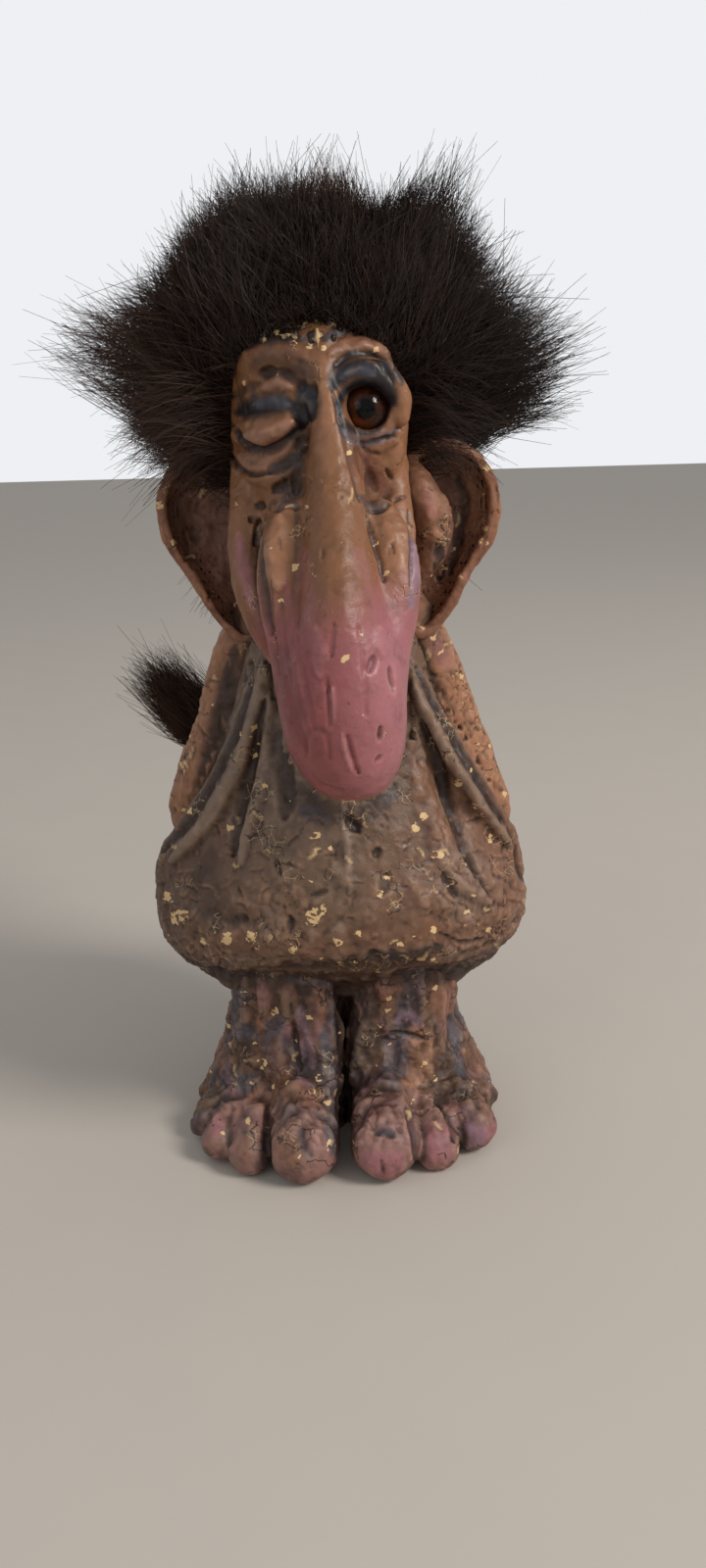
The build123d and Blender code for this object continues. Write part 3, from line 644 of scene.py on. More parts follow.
paints = {
    "tan": tone(160, 112, 82),
    "bellyBrown": tone(108, 80, 61),
    "olive": tone(88, 71, 52),
    "ochre": tone(126, 84, 54),
    "rose": tone(138, 74, 74),
    "pink": tone(166, 106, 112),
    "lilac": tone(142, 112, 126),
    "umber": tone(50, 34, 28),
    "slate": tone(72, 72, 82),
    "blueBlack": tone(27, 29, 35),
    "cream": tone(216, 182, 132),
    "toePink": tone(142, 104, 94),
    "earDark": tone(110, 74, 58),
    "earRim": tone(140, 94, 70),
    "clay": tone(130, 88, 68),
    "russet": tone(104, 66, 44),
    "ash": tone(122, 104, 90),
}
# How the nearest skin is told: by bins of so many pixels with a margin of bins, and a soft depth
visibleDepth = {"bin": 6, "margin": 40, "soft": 5.0}


def nearestDepths(allSkins):
    size, margin = visibleDepth["bin"], visibleDepth["margin"]
    shape = [picture[side] // size + 2 * margin for side in ("height", "width")]
    nearest = np.full(shape, 1e6)
    for skin in allSkins:
        across, down, depth = toPicture(skin["points"])
        column = np.clip((across / size).astype(int) + margin, 0, shape[1] - 1)
        row = np.clip((down / size).astype(int) + margin, 0, shape[0] - 1)
        np.minimum.at(nearest, (row, column), depth)
        skin["place"] = (across, down, depth, row, column)
    return nearest


nearest = nearestDepths(skins.values())
for skin in skins.values():
    across, down, depth, row, column = skin["place"]
    behind = depth - nearest[row, column]
    skin["seen"] = 1 - smoothStep(visibleDepth["soft"], visibleDepth["soft"] * 2, behind)
    toCamera = unit(np.array(picture["eye"]) - skin["points"])
    skin["seen"] *= smoothStep(-0.15, 0.25, (toCamera * skin["normals"]).sum(1))


def brushMask(skin, line, width, soft=1.0):
    # How much of a stroke of that half width in pixels covers each point; its ends taper off
    line = np.array(line, float)
    rows = smoothRows(line, 5) if len(line) > 2 else line
    across, down = skin["place"][:2]
    reach = width * (1 + soft) + 2
    (left, top), (right, bottom) = rows.min(0) - reach, rows.max(0) + reach
    inside = (across > left) & (across < right) & (down > top) & (down < bottom) & (skin["seen"] > 0)
    x, y = across[inside], down[inside]
    best, share = np.full(len(x), 1e6), np.full(len(x), 0.5)
    if len(rows) == 1:
        best = np.hypot(x - rows[0, 0], y - rows[0, 1])
    for number, (a, b) in enumerate(zip(rows[:-1], rows[1:])):
        along = b - a
        t = np.clip(((x - a[0]) * along[0] + (y - a[1]) * along[1]) / (along @ along + 1e-9), 0, 1)
        gap = np.hypot(x - a[0] - t * along[0], y - a[1] - t * along[1])
        share = np.where(gap < best, (number + t) / (len(rows) - 1), share)
        best = np.minimum(best, gap)
    taper = 0.35 + 0.65 * np.sqrt(np.clip(np.minimum(share, 1 - share) * 4, 0, 1))
    mask = np.zeros(len(across))
    mask[inside] = 1 - smoothStep(1 - soft * 0.75, 1 + soft * 0.5, best / (width * taper))
    return mask * skin["seen"]


# What the brush and the modelling tool did, with painted shade in gaps, hollows and undersides and
# painted highlights on lit ridges among the strokes: colour, strength, half width in pixels, height in
# millimetres, and the line in picture pixels
bodyStrokes = {
    "leftEdge": ("ash", 0.5, 9, 1.3, [
        (272, 676), (262, 725), (249, 765), (232, 800), (211, 838), (176, 878),
    ]),
    # Painted shade in the gap under the left fold edge, against the arm
    "leftEdgeUnderShade": ("umber", 0.8, 7, -1.2, [
        (256, 676), (246, 726), (231, 768), (213, 802), (192, 838), (164, 868),
    ]),
    # Dark wash and painted shade in the left gully
    "leftGullyWashAndShade": ("umber", 0.65, 7, -1.3, [
        (270, 715), (262, 755), (256, 790), (246, 830), (236, 872),
    ]),
    "leftFold": ("ash", 0.5, 7, 1.2, [(279, 700), (272, 745), (267, 790), (256, 835), (245, 882)]),
    # Painted shade under the left fold, beside the nose
    "leftFoldUnderShade": ("umber", 0.5, 8, -0.6, [(294, 750), (292, 800), (290, 835)]),
    "rightFold": ("clay", 0.4, 11, 1.2, [
        (418, 745), (428, 795), (446, 850), (468, 893), (500, 920),
    ]),
    # Dark wash and painted shade in the right gully
    "rightGullyWashAndShade": ("umber", 0.75, 6, -1.5, [
        (430, 735), (442, 765), (450, 793), (461, 828), (475, 868), (486, 895),
    ]),
    "rightEdge": ("ash", 0.5, 7, 1.2, [
        (420, 695), (440, 738), (458, 772), (478, 800), (500, 832), (518, 862),
    ]),
    # Painted shade in the gap under the right fold edge, against the arm
    "rightEdgeUnderShade": ("umber", 0.8, 8, -1.2, [
        (428, 680), (450, 722), (472, 765), (494, 805), (512, 838),
    ]),
    "middleFold": ("ash", 0.3, 4, 0.6, [(350, 824), (354, 862), (357, 912)]),
    "noseShadow": ("umber", 0.7, 14, -0.2, [
        (300, 800), (318, 822), (345, 832), (380, 826), (402, 800),
    ]),
    # Painted shade in the hollow under the nose
    "noseHollowShade": ("blueBlack", 0.8, 6, -1.6, [(353, 832), (358, 840), (366, 848)]),
    # Painted shade on the chest at the left of the nose
    "chestLeftShade": ("umber", 0.5, 9, -0.3, [(286, 745), (289, 790), (298, 826)]),
    "chestLeftSlate": ("slate", 0.4, 9, 0, [(306, 826), (335, 838)]),
    "chestRight": ("slate", 0.4, 8, 0, [(402, 790), (396, 820)]),
    "chestRightAsh": ("ash", 0.5, 8, 0.3, [(414, 700), (424, 740), (430, 780)]),
    "bellyOlive": ("olive", 0.3, 30, 0, [(280, 860), (300, 900), (360, 905)]),
    "bellyRight": ("ash", 0.4, 28, 0, [(450, 870), (480, 905), (470, 950)]),
    "bellyLeftDark": ("umber", 0.4, 16, -0.3, [(215, 870), (208, 905), (225, 930), (248, 938)]),
    "lowBand": ("russet", 0.5, 14, 0, [
        (172, 930), (230, 960), (300, 966), (370, 962), (440, 952), (500, 945),
    ]),
    # Painted shade along the underside of the belly
    "underBellyShade": ("umber", 0.75, 9, -0.3, [
        (200, 984), (250, 996), (300, 990), (350, 985), (400, 984), (455, 992), (510, 972),
    ]),
    # More painted shade under the belly, in blue-black
    "underBellyBlueShade": ("blueBlack", 0.7, 7, -0.3, [(377, 974), (415, 976), (451, 966)]),
    "dentOne": ("umber", 0.7, 3.5, -0.8, [(281, 878), (286, 892)]),
    "dentTwo": ("umber", 0.6, 3, -0.7, [(318, 914), (334, 909)]),
    "dentThree": ("umber", 0.7, 3.5, -0.8, [(296, 936), (297, 950)]),
    "dentFour": ("umber", 0.3, 6, -0.9, [(396, 890), (390, 912)]),
    "dentFive": ("olive", 0.5, 4.5, -0.7, [(387, 866), (383, 874)]),
    "dentSix": ("umber", 0.5, 5, -0.6, [(240, 936), (252, 938)]),
    "slotRight": ("umber", 0.35, 4, -0.8, [(452, 890), (458, 905), (466, 916)]),
    "creaseRight": ("umber", 0.5, 2.6, -0.7, [(488, 890), (494, 906), (506, 924)]),
    "crackRight": ("umber", 0.7, 2.4, -0.8, [(526, 862), (530, 885), (536, 905)]),
    "crackRightLow": ("umber", 0.6, 2.2, -0.6, [(450, 952), (470, 962), (496, 958)]),
    "bumpOne": ("ash", 0.15, 7, 0.5, [(340, 880), (352, 902)]),
    "bumpTwo": ("tan", 0.15, 8, 0.5, [(420, 900), (436, 925)]),
    "bumpThree": ("clay", 0.15, 7, 0.5, [(300, 905), (312, 925)]),
}
headStrokes = {
    "foreheadBrown": ("russet", 0.75, 19, 0, [(258, 374), (284, 370), (304, 378)]),
    "foreheadShade": ("umber", 0.35, 24, 0, [(262, 372), (288, 372), (306, 384)]),
    "foreheadDark": ("umber", 0.5, 10, -0.3, [(306, 368), (313, 385), (312, 405)]),
    "noseWarm": ("tan", 0.4, 12, 0, [(328, 365), (331, 400), (332, 440), (337, 480)]),
    "noseOchre": ("ochre", 0.7, 14, 0, [(335, 500), (336, 540), (338, 580), (338, 606)]),
    "noseLeftPink": ("pink", 0.3, 8, 0, [(308, 560), (312, 600), (316, 640)]),
    "noseRightPink": ("pink", 0.3, 9, 0, [(362, 560), (374, 590)]),
    # Painted shadow down the left side of the nose
    "noseLeftShadow": ("umber", 0.75, 7, -0.8, [(318, 392), (310, 430), (305, 470), (301, 505)]),
    "noseRightSide": ("umber", 0.35, 3.5, -0.6, [(340, 400), (349, 440), (360, 478), (367, 512)]),
    "hairBandLeft": ("blueBlack", 0.9, 10, 0, [(246, 356), (262, 345), (285, 342), (305, 346)]),
    "hairBandMid": ("slate", 0.5, 6, 0.3, [(308, 345), (322, 348)]),
    "hairBandRight": ("blueBlack", 0.85, 8, 0, [
        (330, 346), (352, 335), (380, 338), (402, 362), (410, 392),
    ]),
    "archPink": ("clay", 0.85, 6, 0.5, [
        (336, 362), (352, 351), (372, 349), (388, 358), (399, 378),
    ]),
    "archUnder": ("blueBlack", 0.9, 4, -0.6, [
        (341, 374), (354, 363), (372, 360), (390, 370), (402, 392),
    ]),
    "upperLid": ("blueBlack", 0.97, 14, 0, [
        (339, 396), (350, 380), (368, 375), (388, 384), (401, 410),
    ]),
    # Painted highlight on the upper lid
    "upperLidHighlight": ("slate", 0.75, 5, 0.1, [(348, 386), (365, 377), (382, 383)]),
    "eyeRingTop": ("blueBlack", 1.0, 5, 0, [
        (348, 424), (346, 410), (354, 397), (370, 391), (386, 397), (395, 412), (393, 428),
    ]),
    "eyeRingLow": ("blueBlack", 0.9, 4.5, 0, [
        (350, 428), (358, 438), (372, 442), (386, 437), (394, 426),
    ]),
    "lowerLid": ("slate", 0.8, 6, 0.2, [
        (344, 434), (358, 448), (376, 451), (394, 446), (404, 436),
    ]),
    "lowerLidLine": ("umber", 0.6, 2.6, -0.6, [(366, 452), (384, 449), (404, 443)]),
    "bagRight": ("rose", 0.35, 13, 0, [(370, 462), (376, 485), (392, 500)]),
    "bagRightDark": ("umber", 0.4, 6, -0.4, [(363, 458), (373, 482), (384, 502)]),
    "bagRightLine": ("umber", 0.5, 2.4, -0.5, [(368, 454), (376, 461), (386, 463)]),
    "cheekRightTan": ("tan", 0.55, 9, 0.2, [(405, 450), (408, 475), (412, 495)]),
    "cheekRightNick": ("umber", 0.6, 1.8, -0.5, [(393, 478), (400, 490)]),
    "wingCrease": ("slate", 0.6, 6, -0.4, [(369, 507), (382, 517), (398, 513)]),
    "wingCreaseDark": ("umber", 0.5, 2.4, -0.4, [(374, 521), (388, 521), (404, 510), (416, 506)]),
    "rightWing": ("tan", 0.6, 10, 0.2, [(394, 535), (402, 565), (402, 590)]),
    "rightWingGroove": ("umber", 0.6, 3.2, -0.8, [(374, 524), (380, 548), (387, 572), (392, 594)]),
    "rightWingNick": ("umber", 0.6, 1.6, -0.5, [(400, 555), (403, 566)]),
    "rightWingOuter": ("umber", 0.5, 2.6, -0.5, [(417, 520), (420, 560), (418, 600)]),
    "rightJowl": ("lilac", 0.8, 6, 0, [(422, 540), (424, 580), (419, 620)]),
    "browDent": ("umber", 0.85, 6, -0.8, [(265, 382), (281, 378)]),
    "browLine": ("umber", 0.55, 6, -0.4, [(285, 378), (300, 388), (308, 398)]),
    "browLineLeft": ("umber", 0.5, 5, -0.3, [(238, 406), (250, 397), (264, 391)]),
    "lidRoll": ("clay", 0.6, 6, 0.5, [(268, 397), (283, 391), (297, 396)]),
    "lashBand": ("blueBlack", 0.95, 14, -0.2, [(243, 421), (258, 416), (278, 414), (298, 412)]),
    # Painted highlight on the closed eye's dark lash band
    "lashHighlight": ("slate", 0.65, 5, 0.2, [(258, 413), (278, 409), (296, 414)]),
    "innerCorner": ("blueBlack", 0.95, 14, -0.7, [(307, 392), (310, 412), (305, 430)]),
    "lidBall": ("clay", 0.9, 8, 0.6, [(250, 445), (268, 445), (287, 438), (299, 431)]),
    "lidCrease": ("blueBlack", 0.95, 5, -1.0, [
        (239, 436), (249, 453), (268, 460), (286, 455), (300, 441), (310, 428),
    ]),
    "lidUnder": ("clay", 0.6, 7, 0.4, [(243, 464), (262, 473), (280, 467), (298, 453)]),
    "bagCrease": ("umber", 0.85, 3.4, -0.8, [(232, 458), (242, 477), (256, 484), (276, 482)]),
    "bagDark": ("blueBlack", 0.75, 7, -0.5, [(274, 481), (290, 473), (301, 463)]),
    "bagShade": ("umber", 0.55, 9, -0.2, [(290, 487), (303, 470), (308, 450)]),
    "cheekLeftTan": ("ochre", 0.6, 13, 0.2, [(240, 500), (256, 504)]),
    "cheekDentOne": ("umber", 0.85, 6, -0.8, [(279, 503), (292, 492)]),
    "cheekShade": ("umber", 0.5, 10, -0.3, [(292, 506), (299, 488)]),
    "cheekDentTwo": ("umber", 0.8, 4.5, -0.7, [(261, 515), (270, 517)]),
    "cheekDentThree": ("umber", 0.8, 3.5, -0.6, [(255, 528), (258, 533)]),
    "wingTopShade": ("slate", 0.55, 7, -0.6, [(276, 521), (291, 512), (304, 517)]),
    # Painted shade in the gap between the left jowl and the wing
    "jowlGapShade": ("umber", 0.7, 5, -0.9, [(264, 530), (263, 565), (269, 604), (276, 648)]),
    # Tan paint with a painted highlight on the top of the left wing
    "leftWing": ("tan", 0.5, 11, 0.4, [(286, 528), (281, 560), (284, 600)]),
    "leftWingPink": ("rose", 0.4, 6, 0, [(292, 590), (296, 620), (300, 645)]),
    "leftWingGroove": ("umber", 0.2, 5, -0.35, [(302, 516), (304, 550), (302, 600), (303, 640)]),
    "leftJowl": ("pink", 0.6, 8, 0, [(243, 545), (250, 585), (260, 620)]),
    "bulbLongOne": ("rose", 0.3, 3.4, -0.4, [(303, 650), (311, 700), (321, 745)]),
    "bulbLongTwo": ("rose", 0.25, 3.2, -0.35, [(366, 640), (372, 690), (374, 730)]),
    "bulbLongThree": ("rose", 0.3, 4, -0.35, [(292, 690), (301, 730), (312, 768)]),
    "bulbLongFour": ("rose", 0.25, 3.4, -0.4, [(341, 636), (337, 672)]),
    "bulbPale": ("pink", 0.35, 8, 0.3, [(322, 640), (326, 690)]),
    "bulbFacet": ("pink", 0.3, 7, 0.4, [(386, 640), (392, 668)]),
    "lidHighlight": ("ash", 0.35, 3, 0.1, [(352, 382), (366, 376)]),
    "strokeOne": ("umber", 0.2, 2, -0.3, [(276, 590), (279, 640), (286, 690)]),
    "strokeTwo": ("umber", 0.15, 2, -0.25, [(287, 610), (291, 655), (298, 700)]),
    # Painted shade on the left side of the nose bulb
    "bulbLeftShade": ("umber", 0.2, 14, 0, [(286, 660), (294, 710), (308, 760)]),
    # Pink paint and a painted highlight on the right side of the bulb, which faces the light
    "bulbRightPinkHighlight": ("pink", 0.5, 16, 0, [(392, 640), (398, 690), (396, 740)]),
    "bulbDent": ("umber", 0.2, 4.5, -0.9, [(377, 686), (381, 670)]),
    "bulbSlit": ("umber", 0.35, 2.6, -0.8, [(397, 680), (400, 694), (402, 706)]),
    "bulbCrease": ("rose", 0.5, 2.4, -0.5, [(333, 690), (335, 715), (337, 744)]),
    # Painted highlight along the edge of the crease
    "bulbCreaseHighlight": ("pink", 0.6, 2.2, 0.35, [(339, 700), (340, 720), (340, 738)]),
    "bulbOvalEdge": ("rose", 0.3, 3.2, -0.3, [
        (312, 772), (312, 752), (322, 744), (334, 752), (336, 776),
    ]),
    "bulbFurrow": ("rose", 0.7, 2.6, -0.8, [(354, 750), (359, 770), (366, 790)]),
    # Painted highlight along the edge of the furrow
    "bulbFurrowHighlight": ("pink", 0.6, 2.6, 0.4, [(349, 748), (353, 768), (358, 786)]),
    "bulbNickOne": ("umber", 0.6, 2.4, -0.9, [(389, 741), (387, 755)]),
    "bulbNickTwo": ("umber", 0.5, 2, -0.6, [(383, 777), (389, 771)]),
    "bulbFoldLow": ("rose", 0.3, 3, -0.3, [(318, 792), (332, 803), (352, 808)]),
}
legStrokes = {
    # Painted shade in the gap between the legs
    "legGapShade": ("blueBlack", 0.95, 6, -0.6, [(347, 980), (347, 1060), (348, 1130), (349, 1200)]),
    # Painted shade on the inner side of the right leg, beside the gap
    "rightLegInnerShade": ("umber", 0.9, 20, -0.3, [(370, 1000), (367, 1060), (362, 1112)]),
    "rightInnerOlive": ("olive", 0.35, 9, 0, [(376, 1040), (372, 1090)]),
    "leftOuter": ("umber", 0.45, 13, -0.2, [(212, 1085), (222, 1130)]),
    "slateTopLeft": ("slate", 0.7, 10, 0.2, [(248, 1010), (240, 1042), (262, 1060)]),
    "leftRusset": ("russet", 0.65, 12, 0.1, [(282, 1060), (286, 1100), (292, 1122)]),
    "leftPurple": ("lilac", 0.5, 8, 0.5, [(306, 1026), (312, 1058), (318, 1090)]),
    "leftPurpleGap": ("umber", 0.6, 3, -0.7, [(296, 1022), (301, 1056), (306, 1092)]),
    "leftInnerBlue": ("slate", 0.75, 7, 0.2, [(328, 1050), (335, 1110), (339, 1180)]),
    "leftInnerAsh": ("ash", 0.45, 3, 0.3, [(328, 1070), (334, 1112), (338, 1170)]),
    "slateTop": ("slate", 0.7, 9, 0.4, [(296, 1000), (318, 996), (336, 1002)]),
    "topShade": ("umber", 0.75, 12, 0, [
        (236, 1000), (290, 990), (350, 985), (400, 990), (455, 1000),
    ]),
    "rightTan": ("tan", 0.6, 15, 0.4, [(424, 1048), (430, 1080), (422, 1106)]),
    "rightTopTan": ("clay", 0.5, 9, 0.2, [(446, 1012), (452, 1040)]),
    "rightCragPurple": ("lilac", 0.5, 7, 0.5, [(404, 1042), (416, 1038), (430, 1046)]),
    "rightCragGap": ("umber", 0.6, 3, -0.8, [(398, 1054), (414, 1056), (434, 1060)]),
    "rightSlate": ("slate", 0.8, 6, -0.3, [(462, 1036), (466, 1070), (473, 1100)]),
    "rightDark": ("umber", 0.75, 10, -0.6, [(474, 1112), (458, 1116), (446, 1124)]),
    "rightOuter": ("clay", 0.55, 9, 0.3, [(482, 1056), (491, 1095), (498, 1130)]),
    "rightInstepDark": ("umber", 0.6, 6, -0.5, [(366, 1118), (388, 1112), (408, 1118)]),
    "bigToeNick": ("slate", 0.8, 5, -0.6, [(382, 1156), (394, 1154), (402, 1160)]),
    "bigToeLine": ("umber", 0.5, 2.6, -0.5, [(366, 1140), (378, 1128), (404, 1130)]),
    "bigToeNickLow": ("umber", 0.5, 2.6, -0.6, [(388, 1184), (391, 1198)]),
    "leftToeGrey": ("slate", 0.5, 5, -0.4, [(306, 1150), (310, 1165), (318, 1180)]),
    "leftToeOchre": ("ochre", 0.4, 14, 0, [(290, 1160), (300, 1190)]),
    "leftToeTwo": ("clay", 0.5, 10, 0, [(250, 1160), (252, 1186)]),
    "leftToeThree": ("pink", 0.5, 8, 0, [(222, 1140), (222, 1160)]),
    # Pink paint with painted highlights on the right toes, which face the light
    "rightToeTop": ("pink", 0.65, 15, 0, [(374, 1178), (392, 1190), (408, 1180)]),
    "rightToeTwo": ("pink", 0.55, 10, 0, [(438, 1160), (444, 1184)]),
    "rightToeThree": ("lilac", 0.55, 12, 0, [(476, 1146), (490, 1168)]),
    "leftToeGap": ("umber", 0.7, 4, -0.6, [(272, 1128), (272, 1160), (276, 1185)]),
    "rightToeGap": ("umber", 0.7, 4, -0.6, [(414, 1130), (422, 1160), (424, 1185)]),
    "leftToeEdge": ("umber", 0.5, 4, -0.4, [(238, 1130), (234, 1150), (232, 1170)]),
    "rightToeEdge": ("umber", 0.6, 4, -0.5, [(446, 1122), (460, 1144), (464, 1166)]),
}
earStrokes = {
    "tragusPaint": ("tan", 0.7, 14, 0.1, [(430, 492), (440, 520), (444, 548)]),
    "tragusPink": ("pink", 0.35, 7, 0.2, [(434, 500), (440, 530)]),
    # Painted shade under the tragus
    "tragusUnderShade": ("blueBlack", 0.75, 6, -0.7, [(446, 556), (449, 572), (447, 592)]),
    "innerLine": ("blueBlack", 0.6, 6, -0.5, [(466, 486), (474, 510), (468, 548), (458, 585)]),
    # Painted shade deep in the left ear's bowl
    "leftEarDeepShade": ("umber", 0.4, 14, 0, [(180, 470), (176, 510), (188, 555)]),
    "leftMiddle": ("clay", 0.4, 12, 0.2, [(206, 500), (214, 545), (224, 590)]),
    "leftLow": ("earRim", 0.35, 8, 0, [(212, 590), (228, 622)]),
}
armStrokes = {
    "leftLit": ("tan", 0.55, 12, 0.2, [(222, 660), (205, 720), (192, 790), (186, 840)]),
    # Painted shade on the inner side of the left arm, against the body
    "leftArmInnerShade": ("umber", 0.8, 9, -0.3, [(240, 660), (226, 720), (214, 770), (200, 830)]),
    "rightLit": ("tan", 0.7, 12, 0.2, [(462, 660), (486, 720), (506, 780), (518, 835)]),
    "rightTopPink": ("pink", 0.3, 9, 0, [(440, 650), (458, 680)]),
    # Painted shade on the inner side of the right arm, against the body
    "rightArmInnerShade": ("umber", 0.8, 9, -0.3, [(428, 660), (446, 715), (470, 765), (498, 825)]),
    "rightCrack": ("blueBlack", 0.9, 2.2, -0.8, [(464, 736), (472, 748), (478, 762)]),
    "rightCrackLow": ("blueBlack", 0.8, 1.8, -0.7, [(486, 770), (492, 786), (502, 800)]),
}
# Places where the paint has come off down to the cream filler
wornSpots = {
    "bodySkin": [
        (320, 936, 9), (181, 936, 9), (233, 958, 6), (257, 955, 5), (262, 965, 4), (443, 950, 4),
        (430, 833, 4), (423, 845, 4), (418, 862, 5), (445, 872, 5), (467, 800, 4), (485, 822, 4),
        (492, 831, 3), (500, 856, 4), (322, 852, 4), (395, 895, 3), (388, 911, 3), (330, 926, 4),
        (366, 952, 4), (206, 962, 4), (300, 968, 5), (168, 915, 5), (500, 950, 3), (345, 960, 5),
    ],
    "headSkin": [
        (246, 354, 4), (316, 352, 4), (300, 350, 3), (330, 355, 3), (348, 470, 2), (313, 517, 2),
        (394, 584, 3), (384, 555, 2), (240, 514, 2),
    ],
    "legSkin": [
        (281, 1032, 4), (269, 1085, 5), (325, 1100, 4), (319, 1114, 3), (333, 1127, 3),
        (228, 1004, 3), (300, 1062, 3), (443, 1100, 3), (236, 1065, 4), (428, 1140, 2),
    ],
    "leftEarSkin": [(162, 516, 4), (178, 554, 3), (170, 470, 2)],
    "rightEarSkin": [(498, 478, 3), (495, 539, 3), (490, 552, 3), (470, 590, 2)],
    "leftArmSkin": [(200, 700, 3), (186, 780, 3), (192, 830, 3)],
    "rightArmSkin": [(470, 690, 3), (500, 760, 3), (515, 810, 3), (520, 850, 3)],
}
strokesOf = {
    "bodySkin": bodyStrokes,
    "headSkin": headStrokes,
    "legSkin": legStrokes,
    "EarSkin": earStrokes,
    "ArmSkin": armStrokes,
}
# How rough each kind of casting is: broad lumps, small lumps, upright furrows, cracks, the plates
# between cracks and how far the plates stand out
roughness = {
    "bodySkin": (0.55, 0.3, 0.15, 0.2, 3.2, 0.34),
    "legSkin": (0.8, 0.4, 1.0, 0.25, 3.4, 0.32),
    "headSkin": (0.2, 0.15, 0.2, 0.1, 4.0, 0.12),
    "EarSkin": (0.3, 0.3, 0.1, 0.15, 3.6, 0.22),
    "ArmSkin": (0.45, 0.3, 0.2, 0.2, 3.4, 0.26),
}
# Small gouges of the modelling tool on each casting: how many, their slant in degrees, and the rows of
# the picture that they lie between. Then what they are drawn from, in degrees, pixels and millimetres
nicks = {
    "bodySkin": (170, 15, 830, 990),
    "legSkin": (70, 80, 985, 1150),
    "headSkin": (8, 75, 470, 600),
    "leftArmSkin": (24, 65, 640, 860),
    "rightArmSkin": (40, 60, 640, 860),
    "leftEarSkin": (8, 70, 440, 620),
    "rightEarSkin": (8, 70, 440, 620),
}
gouges = {
    "seed": 31,
    "turn": 38,
    "half": (3, 9),
    "bend": 2.6,
    "width": (1.5, 2.5),
    "lipShift": 1.2,
    "lipWidth": 1.5,
    "deep": (0.08, 0.3),
    "flaked": 0.1,
}


def kindOf(name):
    # The casting's name without its side
    return name.removeprefix("left").removeprefix("right")


def shade(skin, colour, mask):
    skin["paint"] += (paints[colour] - skin["paint"]) * np.clip(mask, 0, 1)[:, None]


def gouge(name, skin, height):
    # Short curved cuts with painted shade inside and a painted highlight on the lip above, a few of
    # them flaked down to the cream filler
    count, slant, top, bottom = nicks[name]
    rng = np.random.default_rng(gouges["seed"])
    across, down = skin["place"][:2]
    spots = np.flatnonzero((skin["seen"] > 0.5) & (down > top) & (down < bottom))
    for spot in rng.choice(spots, count):
        turn = math.radians(slant + rng.normal(0, gouges["turn"]))
        half, bend = rng.uniform(*gouges["half"]), rng.normal(0, gouges["bend"])
        wide = rng.uniform(*gouges["width"])
        way = np.array([math.cos(turn), math.sin(turn)])
        beside = np.array([way[1], -way[0]]) * (1 if way[0] > 0 else -1)
        middle = np.array([across[spot], down[spot]])
        line = [middle - half * way, middle + bend * beside, middle + half * way]
        cut = brushMask(skin, line, wide)
        lipLine = [stop + wide * gouges["lipShift"] * beside for stop in line]
        lip = brushMask(skin, lipLine, gouges["lipWidth"])
        deep = rng.uniform(*gouges["deep"])
        height += 0.5 * deep * lip - deep * cut
        # Painted shade in the cut, and a painted highlight in tan on the lip unless it has flaked to
        # cream
        shade(skin, "umber", 0.2 * cut)
        flaked = rng.uniform() < gouges["flaked"]
        shade(skin, "cream" if flaked else "tan", (0.7 if flaked else 0.25) * lip)


def plateGaps(points, size, seed):
    # How near each point is to the crack between two plates, as a share of their size, and its
    # plate's level
    place = (points + 0.5 * size * noiseVectors(points, size * 0.8, seed)) / size + awayFromZero
    cell = np.floor(place).astype(np.int64)
    first, second, level = np.full(len(points), 9.0), np.full(len(points), 9.0), np.zeros(len(points))
    for corner in range(27):
        step = np.array([corner % 3 - 1, corner // 3 % 3 - 1, corner // 9 - 1])
        home = cell + step
        centre = home + np.stack([hashed(home, seed + 11 * i) for i in range(3)], axis=1)
        gap = np.sqrt(((place - centre) ** 2).sum(1))
        second = np.minimum(second, np.maximum(first, gap))
        level = np.where(gap < first, hashed(home, seed + 77), level)
        first = np.minimum(first, gap)
    return second - first, level


def jagged(skin, mask):
    # A soft mask given a torn edge
    return np.clip(mask + 1.6 * mask * (1 - mask) * roughNoise(skin["points"], 2.2, 5, 2), 0, 1)


def everything(points):
    value = np.minimum(bodyField(points), headField(points))
    value = np.minimum(value, legField(points))
    for side in (-1, 1):
        value = np.minimum(value, np.minimum(armField(points, side), earField(points, side)))
    return value


def closeness(skin, reach):
    # How far the skins round about shut a point in, from 0 to 1
    place = skin["points"] + skin["normals"] * reach
    return np.clip(1 - everything(place) / reach, 0, 1)


def patches(skin, low, high, size, seed, layers=1, stretch=1.0):
    # Where a noise of that size rises from low to high, drawn out along the height by less than 1
    points = skin["points"] * np.array([1.0, 1.0, stretch])
    return smoothStep(low, high, roughNoise(points, size, seed, layers))


